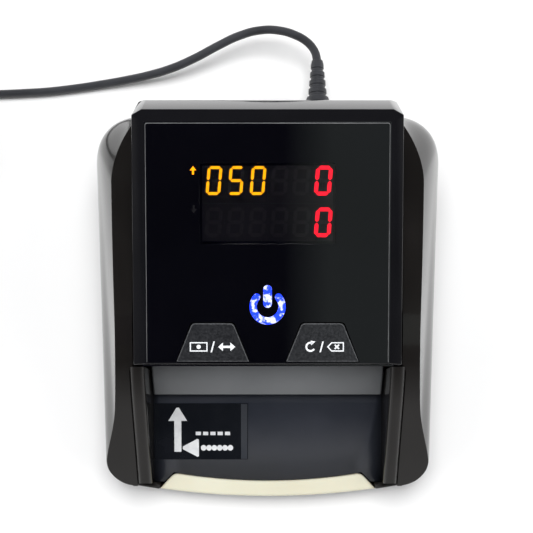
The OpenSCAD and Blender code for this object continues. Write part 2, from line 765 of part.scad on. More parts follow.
// Leaf springs: screwed to a post behind each front holder, in front of each rear one
module leaf(at, z, s) {
    top = at[1] + 3;
    tip = at[0] - 3 * s;
    root = at[0] + 12 * s;
    post = at[0] + 8 * s;
    for (x = holder_x) {
        block([x - 2, min(tip, root), top], [x + 2, max(tip, root), top + 0.4]);
        block([x - 2, min(post, root), z], [x + 2, max(post, root), top]);
    }
}
module idler_springs() {
    color("#b9bcc0") {
        leaf(front_axle, feed_z + path_gap + guide_t, 1);
        leaf([rear_axle[0] - 2, rear_axle[1]], exit_z + path_gap + guide_t + 1, -0.7);
    }
}
module idler_axle(at) {
    color("#c9ccd0") bar_x(at, -41.5, 41.5, axle_r);
}
module idler_rollers(at) {
    color("#d8d8d4") for (x = roller_x) difference() {
        bar_x(at, x - roller_w / 2, x + roller_w / 2, idler_r);
        bar_x(at, x - roller_w, x + roller_w, axle_r + 0.01);
    }
}
module front_idler_axle() {
    idler_axle(front_axle);
}
module rear_idler_axle() {
    idler_axle(rear_axle);
}
module front_idler_rollers() {
    idler_rollers(front_axle);
}
module rear_idler_rollers() {
    idler_rollers(rear_axle);
}

// ---- power cord ----

grip_y = [half_d + 0.5, 88];
grip_r = 4.75;
relief_end = cord_route[0][1];
module plug_grip() {
    color("#1b1c1f") translate([jack_x, 0, jack_z]) rotate([-90, 0, 0]) difference() {
        rotate_extrude() polygon(concat(
            [[0, grip_y[0]], [4, grip_y[0]], [grip_r, grip_y[0] + 0.8],
                [grip_r, grip_y[1] - 0.8], [4.2, grip_y[1]]],
            [for (i = [0 : 3]) let (y = grip_y[1] + 3.6 * i, groove = 3.6 - 0.35 * i, rib = 4 - 0.4 * i)
                each [[groove, y + 0.2], [groove, y + 1.2], [rib, y + 1.6], [rib - 0.1, y + 3.4]]],
            [[2.2, relief_end], [0, relief_end]]));
        translate([0, 0, grip_y[0] - 1]) cylinder(h = 5, r = barrel_r);
    }
}
module plug_barrel() {
    color("#c9ccd0") difference() {
        bar_y([jack_x, jack_z], 61, grip_y[0] + 4, barrel_r);
        bar_y([jack_x, jack_z], 58, 72, 1.25);
    }
}
// A tube swept along points: each ring lies square to the way the route runs there
tube_sides = 8;
function unit(v) = v / norm(v);
function heading(p, i) = unit(p[min(i + 1, len(p) - 1)] - p[max(i - 1, 0)]);
function ring(p, i, r) = let (t = heading(p, i), s = unit(cross(t, [0, 0, 1])), u = cross(s, t))
    [for (k = [0 : tube_sides - 1]) let (a = 360 * (k + 0.5) / tube_sides)
        p[i] + r * (cos(a) * s + sin(a) * u)];
module tube(p, r) {
    n = tube_sides;
    m = len(p);
    polyhedron(points = [for (i = [0 : m - 1]) each ring(p, i, r)], faces = concat(
        [[for (k = [0 : n - 1]) k]], [[for (k = [n - 1 : -1 : 0]) (m - 1) * n + k]],
        [for (i = [0 : m - 2], k = [0 : n - 1])
            [i * n + k, (i + 1) * n + k, (i + 1) * n + (k + 1) % n, i * n + (k + 1) % n]]));
}
module cord_run() {
    color("#2c2d30") {
        tube(cord_route, cord_r);
        tube(tail_route, cord_r);
    }
}
module cord_coil() {
    color("#2c2d30") translate([coil_at[0], coil_at[1], 0]) rotate_extrude() polygon([
        [coil_mean_r - coil_half, 0], [coil_mean_r + coil_half, 0],
        [coil_mean_r + coil_half, coil_h], [coil_mean_r - coil_half, coil_h]]);
}
module cord_tie() {
    x = coil_at[0];
    y = coil_at[1] - coil_mean_r;
    color("#111111") difference() {
        block([x - 2, y - coil_half - 0.9, 0], [x + 2, y + coil_half + 0.9, coil_h + 0.9]);
        block([x - 3, y - coil_half - 0.3, -1], [x + 3, y + coil_half + 0.3, coil_h + 0.2]);
    }
}
adapter_half = [21, 29];
adapter_h = 27;
module adapter_case() {
    color("#1b1c1f") union() {
        hull() for (x = [-1, 1], y = [-1, 1], z = [3, adapter_h - 3])
            translate([adapter_at[0] + x * (adapter_half[0] - 3),
                adapter_at[1] + y * (adapter_half[1] - 3), z]) sphere(3, $fn = 24);
        translate([adapter_at[0], adapter_at[1] + adapter_half[1] - 1, coil_end_z]) rotate([-90, 0, 0])
            cylinder(h = 34 - adapter_at[1] - adapter_half[1] + 1, r1 = 4.5, r2 = 2.3);
    }
}
module adapter_blades() {
    color("#c9ccd0") for (x = [-6.35, 6.35]) translate([adapter_at[0] + x, 0, 0])
        block([-0.75, adapter_at[1] - adapter_half[1] - 16, 10.5],
            [0.75, adapter_at[1] - adapter_half[1] - 0.01, 16.8]);
}

bottom_shell();
rubber_feet();
case_screws();
tray_deck();
tray_label();
left_side_cover();
right_side_cover();
front_light_bar();
light_bar_board();
left_bearing_plate();
right_bearing_plate();
shaft_bushes();
hinge_pins();
motor();
motor_strap();
motor_belt();
transfer_belt();
magnetic_head();
lower_sensor_bar();
encoder_sensor();
main_board();
board_parts();
dc_jack();
wiring_harness();
motor_shaft();
motor_pulley();
front_drive_shaft();
front_drive_rollers();
front_pulley();
encoder_disc();
rear_drive_shaft();
rear_drive_rollers();
rear_pulley();
head_shell();
front_panel();
display_window();
power_light_guide();
display_board();
currency_digits();
count_digits();
total_digits();
key_switches();
upper_note_guide();
upper_sensor_bar();
idler_holders();
idler_springs();
left_key();
right_key();
front_idler_axle();
front_idler_rollers();
rear_idler_axle();
rear_idler_rollers();
plug_grip();
plug_barrel();
cord_run();
cord_coil();
cord_tie();
adapter_case();
adapter_blades();
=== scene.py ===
# A desktop banknote counter with a lifting head, and its power lead.
# Every mesh is drawn in millimetres and set to metres when its piece is finished.
import math

import bmesh
import bpy
from mathutils import Matrix, Vector


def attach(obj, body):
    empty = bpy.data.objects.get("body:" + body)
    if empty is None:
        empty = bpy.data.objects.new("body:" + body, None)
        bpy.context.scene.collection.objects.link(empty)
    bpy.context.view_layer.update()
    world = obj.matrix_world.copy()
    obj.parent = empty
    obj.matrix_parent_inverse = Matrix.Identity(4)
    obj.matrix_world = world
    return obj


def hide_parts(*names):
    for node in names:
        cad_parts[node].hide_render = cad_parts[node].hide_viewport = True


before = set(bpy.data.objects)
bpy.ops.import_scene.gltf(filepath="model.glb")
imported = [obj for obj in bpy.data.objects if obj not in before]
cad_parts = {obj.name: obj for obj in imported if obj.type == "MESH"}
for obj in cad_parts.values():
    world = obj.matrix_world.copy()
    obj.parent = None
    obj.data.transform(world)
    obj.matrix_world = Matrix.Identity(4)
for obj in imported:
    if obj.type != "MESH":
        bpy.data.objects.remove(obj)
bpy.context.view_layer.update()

# ---- Camera ----
# Stands above the tray and looks a little towards the back, as a user bending over the machine
# does. The lens is a short telephoto, so the sides of the base stay in sight.
camera_data = bpy.data.cameras.new("camera")
camera_data.sensor_width = 36
camera_data.lens = 64.2
camera_data.shift_x = -0.002
camera = bpy.data.objects.new("camera", camera_data)
camera.location = (0, -0.048, 0.385)
camera.rotation_euler = (math.radians(10), 0, 0)
bpy.context.scene.collection.objects.link(camera)
bpy.context.scene.camera = camera

# ---- Power lead ----
# A thin vinyl lead that leaves the plug at the back, drops to the table and runs off to the left.
# The rest is wound into a round coil, two layers of three turns, and runs on into the adapter.
MM = 0.001
cord_r = 1.75
cord_route = [(20.5, 104, 13), (19.5, 108, 13), (16.5, 112, 13), (12, 115, 12.8), (5, 117.5, 12.2),
    (-3, 118, 11.4), (-12, 116, 10.2), (-21, 112, 9), (-30, 107.5, 7.6), (-40, 103.5, 6),
    (-50, 101, 4.4), (-60, 99.3, 3), (-70, 97.8, 2.1), (-80, 96.3, 1.8), (-92, 94.8, 1.75),
    (-104, 94, 1.75), (-116, 93.5, 1.75), (-127, 93.2, 1.75), (-134.5, 93, 1.75)]
tail_x = -176.5
tail_z = 8.75
tail_route = [(tail_x, y, tail_z) for y in (60, 52, 46, 40, 34, 24, 14)]
coil_centre = (-152, 68.5)
coil_outer_r = 24.5
coil_turns = 6.25
points_a_turn = 24


def through(value, start, end):
    """How far value has gone from start to end, from 0 to 1."""
    return min(1, max(0, (value - start) / (end - start)))


def eased(value, start, end):
    return (1 - math.cos(math.pi * through(value, start, end))) / 2


def coil_point(turns):
    """A place on the coil: inwards for three turns, up a layer, outwards for three, then up again."""
    quarter = math.pi / 2
    inward = sum(1 - math.cos(quarter * through(turns, k - 0.25, k - 1 / 12)) for k in (1, 2))
    outward = sum(eased(turns, k - 5 / 12, k - 0.25) for k in (4, 5))
    layer = math.sin(quarter * through(turns, 2.75, 3 - 1 / 12)) + eased(turns, 6 - 7 / 12, 6 - 5 / 12)
    radius = coil_outer_r + 2 * cord_r * (outward - inward)
    angle = math.radians(90 + 360 * turns)
    return (coil_centre[0] + radius * math.cos(angle), coil_centre[1] + radius * math.sin(angle),
        cord_r + 2 * cord_r * layer)


def link(thing):
    bpy.context.scene.collection.objects.link(thing)
    return thing


def set_inputs(node, **values):
    """Sets a node's inputs, named with an underscore for each space."""
    for socket, value in values.items():
        node.inputs[socket.replace("_", " ")].default_value = value


def two_stops(ramp, low, high, low_colour, high_colour):
    """Sets where a colour ramp starts and ends, and with which colours."""
    for stop, position, colour in zip(ramp.elements, (low, high), (low_colour, high_colour)):
        stop.position = position
        stop.color = (*colour, 1)


def noise_node(nodes, links, scale, detail=4, stretch=(1, 1, 1)):
    """Noise on the piece's own metres; a stretch above 1 makes it finer that way."""
    place = nodes.new("ShaderNodeTexCoord")
    mapping = nodes.new("ShaderNodeMapping")
    set_inputs(mapping, Scale=stretch)
    noise = nodes.new("ShaderNodeTexNoise")
    set_inputs(noise, Scale=scale, Detail=detail)
    links.new(place.outputs["Object"], mapping.inputs["Vector"])
    links.new(mapping.outputs["Vector"], noise.inputs["Vector"])
    return noise


def finish_material(name, colour, shade, roughness, rough_to, scale, grain, grain_depth,
        stretch=(1, 1, 1), metallic=0.0, **sockets):
    """A surface whose colour and gloss wander over it, with a fine grain on top.

    colour to shade and roughness to rough_to follow a slow noise of the given scale (per metre);
    grain is the scale of the fine relief and grain_depth its height in millimetres."""
    material = bpy.data.materials.new(name)
    material.use_nodes = True
    nodes, links = material.node_tree.nodes, material.node_tree.links
    shader = nodes["Principled BSDF"]
    set_inputs(shader, Metallic=metallic, **sockets)
    slow = noise_node(nodes, links, scale, 6, stretch)
    ramp = nodes.new("ShaderNodeValToRGB")
    two_stops(ramp.color_ramp, 0.35, 0.68, colour, shade)
    links.new(slow.outputs["Fac"], ramp.inputs["Fac"])
    links.new(ramp.outputs["Color"], shader.inputs["Base Color"])
    gloss = nodes.new("ShaderNodeMapRange")
    set_inputs(gloss, From_Min=0.3, From_Max=0.7, To_Min=roughness, To_Max=rough_to)
    links.new(slow.outputs["Fac"], gloss.inputs["Value"])
    links.new(gloss.outputs["Result"], shader.inputs["Roughness"])
    fine = noise_node(nodes, links, grain, 3, stretch)
    relief = nodes.new("ShaderNodeBump")
    set_inputs(relief, Strength=1, Distance=grain_depth * MM)
    links.new(fine.outputs["Fac"], relief.inputs["Height"])
    links.new(relief.outputs["Normal"], shader.inputs["Normal"])
    return material


cord_vinyl = finish_material("cord_vinyl", (0.03, 0.031, 0.035), (0.05, 0.052, 0.058),
    0.38, 0.55, 60, 1500, 0.02)
coil_path = [coil_point(i / points_a_turn) for i in range(int(coil_turns * points_a_turn) + 1)]
lead_points = cord_route + coil_path + tail_route
lead_data = bpy.data.curves.new("power_lead", "CURVE")
lead_data.dimensions = "3D"
lead_data.bevel_depth = cord_r * MM
lead_data.bevel_resolution = 4
lead_data.resolution_u = 6
lead_data.use_fill_caps = True
lead_spline = lead_data.splines.new("BEZIER")
lead_spline.bezier_points.add(len(lead_points) - 1)
for knot, point in zip(lead_spline.bezier_points, lead_points):
    knot.co = Vector(point) * MM
    knot.handle_left_type = knot.handle_right_type = "AUTO"
lead_data.materials.append(cord_vinyl)
power_lead = link(bpy.data.objects.new("power_lead", lead_data))
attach(power_lead, "base")
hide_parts("cord_run", "cord_coil")


def finished(bm, name, body, slot, materials, stands_for=(), sharp=32):
    """Turns a mesh drawn in millimetres into a piece that rides on its body."""
    bmesh.ops.scale(bm, vec=(MM, MM, MM), verts=bm.verts)
    mesh = bpy.data.meshes.new(name)
    bm.to_mesh(mesh)
    bm.free()
    for material in materials:
        mesh.materials.append(material)
    mesh.shade_smooth()
    mesh.set_sharp_from_angle(angle=math.radians(sharp))
    piece = link(bpy.data.objects.new(name, mesh))
    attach(piece, body)
    if stands_for:
        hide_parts(*stands_for)
    return piece


def outward(bm):
    """Merges doubles and makes every face point outwards."""
    bmesh.ops.remove_doubles(bm, verts=bm.verts, dist=0.001)
    bmesh.ops.recalc_face_normals(bm, faces=bm.faces)


# ---- Plug and its strain relief ----
# A round moulded grip pressed into the socket at the back, with a tapered relief of four rings.
# It is turned from one profile, in the same vinyl as the lead.
jack_x = 20.5
jack_z = 13
grip_start = 72
grip_end = 88
relief_end = 104
grip_r = 4.75


def turned(profile, steps):
    """A solid of revolution about Y from (radius, y) points, the first and last on the axis."""
    bm = bmesh.new()
    verts = [bm.verts.new((radius, y, 0)) for radius, y in profile]
    edges = [bm.edges.new(pair) for pair in zip(verts, verts[1:])]
    bmesh.ops.spin(bm, geom=verts + edges, cent=(0, 0, 0), axis=(0, 1, 0), angle=2 * math.pi,
        steps=steps, use_merge=True)
    outward(bm)
    return bm


grip_profile = [(0, grip_start), (4, grip_start), (4.6, grip_start + 0.25), (grip_r, grip_start + 0.9)]
for i in range(6):
    groove = grip_start + 4 + 1.7 * i
    grip_profile += [(grip_r, groove), (grip_r - 0.35, groove + 0.25), (grip_r - 0.35, groove + 0.65),
        (grip_r, groove + 0.9)]
grip_profile += [(grip_r, grip_end - 1.2), (4.45, grip_end - 0.3), (3.9, grip_end)]
for i in range(4):
    ring = grip_end + 3.6 * i
    inner = 3.4 - 0.35 * i
    grip_profile += [(inner, ring + 0.3), (inner, ring + 1.3), (inner + 0.35, ring + 1.6),
        (inner + 0.3, ring + 3.3)]
grip_profile += [(2.3, relief_end - 0.3), (cord_r, relief_end), (0, relief_end)]
bm = turned(grip_profile, 40)
bmesh.ops.translate(bm, vec=(jack_x, 0, jack_z), verts=bm.verts)
plug = finished(bm, "plug_moulding", "base", "cord_black", [cord_vinyl], ["plug_grip"])

# ---- Coil tie ----
# A flat tie round the coil, wrapped over its top and under it, a closed strip of paper-backed wire
# in matt black.
tie_black = finish_material("tie_black", (0.012, 0.012, 0.012), (0.02, 0.02, 0.021), 0.5, 0.7, 90,
    2500, 0.02)
tie_half_w = 2
tie_t = 0.5
coil_top = 10.6
coil_in = 15.5
coil_out = 26.5


def picked(parts, kind):
    """The parts of an operator's result that are of one kind."""
    return [part for part in parts if isinstance(part, kind)]


def closed_line(bm, points):
    """Edges that join new corners at the points into a closed line."""
    verts = [bm.verts.new(point) for point in points]
    return [bm.edges.new(pair) for pair in zip(verts, verts[1:] + verts[:1])]


def prism(bm, outline, direction, material_index=0):
    """Fills an outline of 3-D points and pushes it along a direction; returns its far face."""
    verts = [bm.verts.new(point) for point in outline]
    face = bm.faces.new(verts)
    face.material_index = material_index
    grown = bmesh.ops.extrude_face_region(bm, geom=[face], use_keep_orig=True)["geom"]
    moved = picked(grown, bmesh.types.BMVert)
    bmesh.ops.translate(bm, vec=direction, verts=moved)
    solid = {f for v in verts + moved for f in v.link_faces}
    for part in solid:
        part.material_index = material_index
    bmesh.ops.recalc_face_normals(bm, faces=list(solid))
    return picked(grown, bmesh.types.BMFace)


bm = bmesh.new()
tie_y0 = coil_centre[1] - coil_out
tie_y1 = coil_centre[1] - coil_in
loop_outer = [(tie_y0 - 0.8, 0), (tie_y1 + 0.8, 0), (tie_y1 + 0.8, coil_top + 0.3),
    (tie_y1, coil_top + 0.9), (tie_y0, coil_top + 0.9), (tie_y0 - 0.8, coil_top + 0.3)]
x0 = coil_centre[0] - tie_half_w
edges = closed_line(bm, [(x0, y, z + 0.01) for y, z in loop_outer])
grown = bmesh.ops.extrude_edge_only(bm, edges=edges)["geom"]
bmesh.ops.translate(bm, vec=(2 * tie_half_w, 0, 0), verts=picked(grown, bmesh.types.BMVert))
bmesh.ops.recalc_face_normals(bm, faces=bm.faces)
tie = finished(bm, "coil_tie", "base", "cord_black", [tie_black], ["cord_tie"])


def walled(piece, thickness, offset=-1):
    """Gives a sheet its wall, behind its outer side."""
    wall = piece.modifiers.new("wall", "SOLIDIFY")
    wall.thickness = thickness * MM
    wall.offset = offset
    wall.use_even_offset = True
    wall.use_quality_normals = True
    return piece


walled(tie, tie_t)

# ---- Adapter ----
# A small plug-in supply: a rounded case in two halves with a parting line between them, and a
# tapered relief for the lead. Its two blades keep their own shape.
adapter_texture = finish_material("adapter_texture", (0.018, 0.018, 0.02), (0.028, 0.028, 0.031),
    0.42, 0.6, 50, 1400, 0.05)
adapter_at = (tail_x, -8)
adapter_half = (21, 29)
adapter_h = 27
adapter_round = 3.2
seam = (15.2, 15.7)


def rounded(bm, edges, offset, segments, material=-1, clamp=False):
    """Rounds edges, in the material of the faces beside them unless one is given."""
    bmesh.ops.bevel(bm, geom=edges, offset=offset, segments=segments, profile=0.5, affect="EDGES",
        material=material, clamp_overlap=clamp)


def sliced(bm, point, normal, clear=False):
    """Cuts a mesh along a plane, clears its far side if told to, and returns the cut."""
    return bmesh.ops.bisect_plane(bm, geom=bm.verts[:] + bm.edges[:] + bm.faces[:], dist=0.0001,
        plane_co=point, plane_no=normal, clear_outer=clear)["geom_cut"]


bm = bmesh.new()
bmesh.ops.create_cube(bm, size=1)
bmesh.ops.scale(bm, vec=(2 * adapter_half[0], 2 * adapter_half[1], adapter_h), verts=bm.verts)
rounded(bm, bm.edges, adapter_round, 6)
bmesh.ops.translate(bm, vec=(*adapter_at, adapter_h / 2), verts=bm.verts)
for z in seam:
    sliced(bm, (0, 0, z), (0, 0, 1))
parting = [f for f in bm.faces if seam[0] < f.calc_center_median().z < seam[1]]
bmesh.ops.inset_region(bm, faces=parting, thickness=0.02, depth=-0.3, use_even_offset=True)
outward(bm)
adapter = finished(bm, "adapter_housing", "base", "adapter_black", [adapter_texture], ["adapter_case"])
relief_profile = [(0, 20.5), (4.5, 20.5), (4.5, 22)]
for i in range(4):
    ring = 22 + 2.8 * i
    relief_profile += [(4 - 0.42 * i, ring + 0.4), (4 - 0.42 * i, ring + 1.3), (4.3 - 0.45 * i, ring + 1.6),
        (4.15 - 0.45 * i, ring + 2.7)]
relief_profile += [(2.2, 33.7), (cord_r, 34), (0, 34)]
bm = turned(relief_profile, 32)
bmesh.ops.translate(bm, vec=(tail_x, 0, tail_z), verts=bm.verts)
adapter_relief = finished(bm, "adapter_relief", "base", "cord_black", [cord_vinyl])

# ---- Bottom tub ----
# The lower shell of the base, moulded in gloss black: a floor with rounded lower edges, a low wall
# all round, a higher sill at the back under the exit, and a gap in front for the light bar.
shell_black = finish_material("shell_black", (0.0075, 0.0066, 0.006), (0.0115, 0.0102, 0.0094), 0.11, 0.17,
    35, 4000, 0.004, Specular_IOR_Level=0.4, Coat_Weight=0.1, Coat_Roughness=0.06)
wall = 2.2
half_d = 71.5
foot_h = 2.5
shell_top = 11
floor_z = 4.9
bow_r = 300
corner_r = 11
corner_y = -56.2
sill_top = 24.7
head_half_w = 47.2
bar_half = 41.5
bar_back_half = 36
bar_back_y = -62.6
bar_h = 4.6


def arc(centre, radius, start, end, steps):
    """Points of an arc, from one angle in degrees to another."""
    angles = [math.radians(start + (end - start) * i / steps) for i in range(steps + 1)]
    return [(centre[0] + radius * math.cos(a), centre[1] + radius * math.sin(a)) for a in angles]


def side_plan(half_w, rear_y, rear_r, sweep, front_half_w):
    """The base's outline at one height: rear corner, side, front corner."""
    rear = arc((half_w - rear_r, rear_y), rear_r, sweep, 0, 24)
    front = arc((front_half_w - corner_r, corner_y), corner_r, 0, -80, 14)
    steps = 46
    side = [tuple(Vector(rear[-1]).lerp(front[0], i / steps)) for i in range(1, steps)]
    return rear + side + front


def bow_y(x):
    return bow_r - half_d - math.sqrt(bow_r ** 2 - x ** 2)


low_plan = side_plan(67.5, half_d - 17, 17, 90, 61)


def draped(bm, columns, rows, place):
    """A grid sheet whose corners are set one by one by place(column, row)."""
    verts = bmesh.ops.create_grid(bm, x_segments=columns - 1, y_segments=rows - 1, size=1)["verts"]
    for vert in verts:
        column = round((vert.co.x + 1) / 2 * (columns - 1))
        row = round((vert.co.y + 1) / 2 * (rows - 1))
        vert.co = place(column, row)
    return verts


def tub_top(x, y):
    """Height of the tub's wall: the sill at the back, the seat of the light bar in front."""
    if y > 60 and abs(x) < head_half_w:
        return sill_top
    return floor_z if y < 0 and abs(x) < bar_half + 0.1 else shell_top


rear_x = [8 * i for i in range(6)] + [head_half_w - 0.1, head_half_w + 0.1]
front_x = [49, 46, bar_half + 0.3, bar_half - 0.1] + [36, 30, 24, 18, 12, 6, 0]
half_ring = [(x, half_d) for x in rear_x] + low_plan + [(x, bow_y(x)) for x in front_x]
ring = half_ring + [(-x, y) for x, y in reversed(half_ring[:-1])]
fillet = 1.4
tub_rows = [(fillet, 0), (0.6 * fillet, 0.08 * fillet), (0.25 * fillet, 0.33 * fillet), (0, fillet)]


def tub_place(column, row):
    x, y = ring[column]
    if row < len(tub_rows):
        inset, rise = tub_rows[row]
        away = Vector((x, y * 0.9)).normalized() * inset
        return (x - away.x, y - away.y, foot_h + rise)
    top = tub_top(x, y)
    start = foot_h + fillet
    return (x, y, start + (top - start) * (row - len(tub_rows) + 1) / 4)


bm = bmesh.new()
draped(bm, len(ring), len(tub_rows) + 4, tub_place)
bmesh.ops.remove_doubles(bm, verts=bm.verts, dist=0.01)
floor_edges = [e for e in bm.edges if e.is_boundary and all(v.co.z < foot_h + 0.01 for v in e.verts)]
bmesh.ops.triangle_fill(bm, use_beauty=True, use_dissolve=True, edges=floor_edges)


def facing(bm, point, direction):
    """Makes a sheet's faces agree, so that the one nearest to a point looks the given way."""
    bmesh.ops.recalc_face_normals(bm, faces=bm.faces)
    nearest = min(bm.faces, key=lambda f: (f.calc_center_median() - Vector(point)).length)
    if nearest.normal.dot(Vector(direction)) < 0:
        bmesh.ops.reverse_faces(bm, faces=bm.faces)


facing(bm, (67.5, 0, 8), (1, 0, 0))
tub = finished(bm, "base_tub", "base", "shell_black", [shell_black], ["bottom_shell"])
walled(tub, wall)

# ---- Light bar ----
# A bar of translucent ivory plastic let into the front of the tub, shown unlit. It follows the bow
# of the front, with slanted ends and well-rounded upper edges.
ivory = finish_material("ivory", (0.72, 0.7, 0.56), (0.67, 0.64, 0.5), 0.38, 0.5, 30, 1800, 0.01,
    Subsurface_Weight=0.15, Subsurface_Radius=(0.004, 0.003, 0.002), Subsurface_Scale=1.0)


def bent(start, corner, end, t):
    """A place on the curve from start to end that bends towards the corner."""
    return tuple(start * (1 - t) ** 2 + corner * 2 * t * (1 - t) + end * t ** 2)


def softened(outline, reach, corners):
    """Rounds the named corners of an outline, starting each curve that far from the corner."""
    points = []
    for i, point in enumerate(outline):
        if i not in corners:
            points.append(point)
            continue
        corner = Vector(point)
        start = corner + (Vector(outline[i - 1]) - corner).normalized() * reach
        end = corner + (Vector(outline[(i + 1) % len(outline)]) - corner).normalized() * reach
        points += [bent(start, corner, end, t) for t in (0, 0.2, 0.4, 0.6, 0.8, 1)]
    return points


steps = 24
bar_xs = [bar_half * (2 * i / steps - 1) for i in range(steps + 1)]
bar_front = [(x, bow_y(x)) for x in bar_xs]
bar_back = [(bar_back_half * t, bar_back_y - 3 * (1 - t * t)) for t in
    [1 - 2 * i / steps for i in range(steps + 1)]]
bar_plan = softened(bar_front + bar_back, 2.2, (len(bar_front), len(bar_front) + len(bar_back) - 1))
bm = bmesh.new()
top_face = prism(bm, [(x, y, floor_z) for x, y in bar_plan], (0, 0, bar_h))[0]
rounded(bm, list(top_face.edges), 1.1, 5)
outward(bm)
finished(bm, "ivory_light_bar", "base", "light_bar", [ivory], ["front_light_bar"], sharp=50)

# ---- Tray and note path ----
# One moulding in satin blue-black: the sloping tray, the level feed, a ramp and the level exit,
# pierced for the rollers and sensors. Its two rails are rounded bars along the tray's sides.
tray_satin = finish_material("tray_satin", (0.018, 0.021, 0.029), (0.027, 0.03, 0.04), 0.3, 0.44, 45,
    2600, 0.03, Specular_IOR_Level=0.55)
tray_half_w = 43.7
rail_w = 5.4
rail_end_y = -24.5
rail_rise = 1.6
mouth_y = -36
tray_front_y = -66.4
tray_front_z = 9.3
feed_z = 16.5
exit_z = 26.5
ramp_start = 8
ramp_end = 30
path_gap = 5
deck_t = 1.8
roller_x = (-34, -11, 11, 34)
roller_w = 9
front_roller_y = -10
rear_roller_y = 56
drive_r = 6.2
idler_r = 5.2
room = 0.8
sensor_half = 38
sensor_span = (36.5, 43.5)


def level(y):
    """Height of the deck's upper side along the note path."""
    if y < mouth_y:
        return tray_front_z + (feed_z - tray_front_z) * (y - tray_front_y) / (mouth_y - tray_front_y)
    return feed_z + (exit_z - feed_z) * through(y, ramp_start, ramp_end)


def rectangle(x0, x1, y0, y1):
    return [(x0, y0), (x1, y0), (x1, y1), (x0, y1)]


def opening(half, span, gap):
    """A rectangle across the middle, grown by a gap all round."""
    return rectangle(-half - gap, half + gap, span[0] - gap, span[1] + gap)


def roller_windows(reach):
    """Openings for the four rollers of the front and of the rear shaft."""
    half = roller_w / 2 + room
    return [rectangle(x - half, x + half, y - reach - room, y + reach + room)
        for y in (front_roller_y, rear_roller_y) for x in roller_x]


def pierced(bm, outline, holes, material_index=0):
    """A flat sheet in XY with holes, filled between its loops."""
    edges = []
    for loop in [outline] + holes:
        edges += closed_line(bm, [(x, y, 0) for x, y in loop])
    filled = bmesh.ops.triangle_fill(bm, use_beauty=True, use_dissolve=False, edges=edges)["geom"]
    faces = picked(filled, bmesh.types.BMFace)
    for face in faces:
        face.material_index = material_index
    return faces


def bend_to_path(bm, lift):
    """Cuts a flat sheet at the path's bends and lifts it to the path."""
    for y in (mouth_y, ramp_start, ramp_end):
        sliced(bm, (0, y, 0), (0, 1, 0))
    for vert in bm.verts:
        vert.co.z = level(vert.co.y) + lift


front_line = [(bar_back_half * t + 0.15 * t, bar_back_y + 0.15 - 3 * (1 - t * t)) for t in
    [2 * i / 16 - 1 for i in range(17)]]
deck_outline = ([(-tray_half_w, -66), (-39.7, -66)] + front_line + [(39.7, -66), (tray_half_w, -66),
    (tray_half_w, rail_end_y + 1), (47.8, rail_end_y + 1), (47.8, half_d - 0.1), (-47.8, half_d - 0.1),
    (-47.8, rail_end_y + 1), (-tray_half_w, rail_end_y + 1)])
magnet_window = rectangle(-9.2, 9.2, -0.2, 6.2)
sensor_window = opening(sensor_half, sensor_span, 0.2)
deck_holes = roller_windows(drive_r) + [magnet_window, sensor_window]
bm = bmesh.new()
pierced(bm, deck_outline, deck_holes)
bend_to_path(bm, 0)
facing(bm, (0, -50, 13), (0, 0, 1))
deck = finished(bm, "tray_floor", "base", "tray_satin", [tray_satin], ["tray_deck"], sharp=12)
walled(deck, deck_t)

slope_start = (-67, 15)
slope_rate = 0.767
knee_start = -38
knee_end = -6
top_rate = 0.06
knee_base = slope_start[1] + slope_rate * (knee_start - slope_start[0])


def shoulder(y):
    """Height of the base's shoulders: a slope beside the tray that rounds into a level top."""
    if y < knee_start:
        return slope_start[1] + slope_rate * (y - slope_start[0])
    t = min(y, knee_end) - knee_start
    knee = slope_rate * t - (slope_rate - top_rate) * t * t / (2 * (knee_end - knee_start))
    return knee_base + knee + top_rate * max(0, y - knee_end)


rail_steps = 20
rail_ys = [tray_front_y + (rail_end_y - tray_front_y) * i / rail_steps for i in range(rail_steps + 1)]
rail_top = [(y, shoulder(y) + rail_rise) for y in rail_ys]
rail_under = [(rail_end_y, feed_z - deck_t), (mouth_y, feed_z - deck_t), (-65, level(-65) - deck_t),
    (-65, 11.3), (tray_front_y, 11.3)]
for side, inner in (("left", -tray_half_w), ("right", tray_half_w)):
    toward = math.copysign(1, inner)
    bm = bmesh.new()
    prism(bm, [(inner, y, z) for y, z in rail_top + rail_under], (toward * rail_w, 0, 0))
    upper = [e for e in bm.edges if all(v.co.z > shoulder(v.co.y) + rail_rise - 0.01 for v in e.verts)
        and abs(e.verts[0].co.x - e.verts[1].co.x) < 0.01]
    rounded(bm, upper, 1.9, 6)
    outward(bm)
    finished(bm, side + "_rail", "base", "tray_satin", [shell_black], sharp=40)

# ---- Tray label ----
# A printed film label stuck on the left of the tray floor: black with a lighter border at its
# right, a white arrow for the way in and one for the side to keep to.
label_film = finish_material("label_film", (0.004, 0.005, 0.007), (0.007, 0.008, 0.011), 0.2, 0.3, 60,
    2000, 0.01)
label_border = finish_material("label_border", (0.03, 0.033, 0.04), (0.042, 0.045, 0.052), 0.3, 0.4, 60,
    2000, 0.01)
label_white = finish_material("label_white", (0.74, 0.75, 0.76), (0.62, 0.63, 0.65), 0.4, 0.5, 400,
    3000, 0.01)
label_x = (-43.2, -7.6)
label_y = (-57.6, -36.4)
film_t = 0.24
print_t = 0.04


def laid_on_tray(points, height):
    return [(x, y, level(y) + height) for x, y in points]


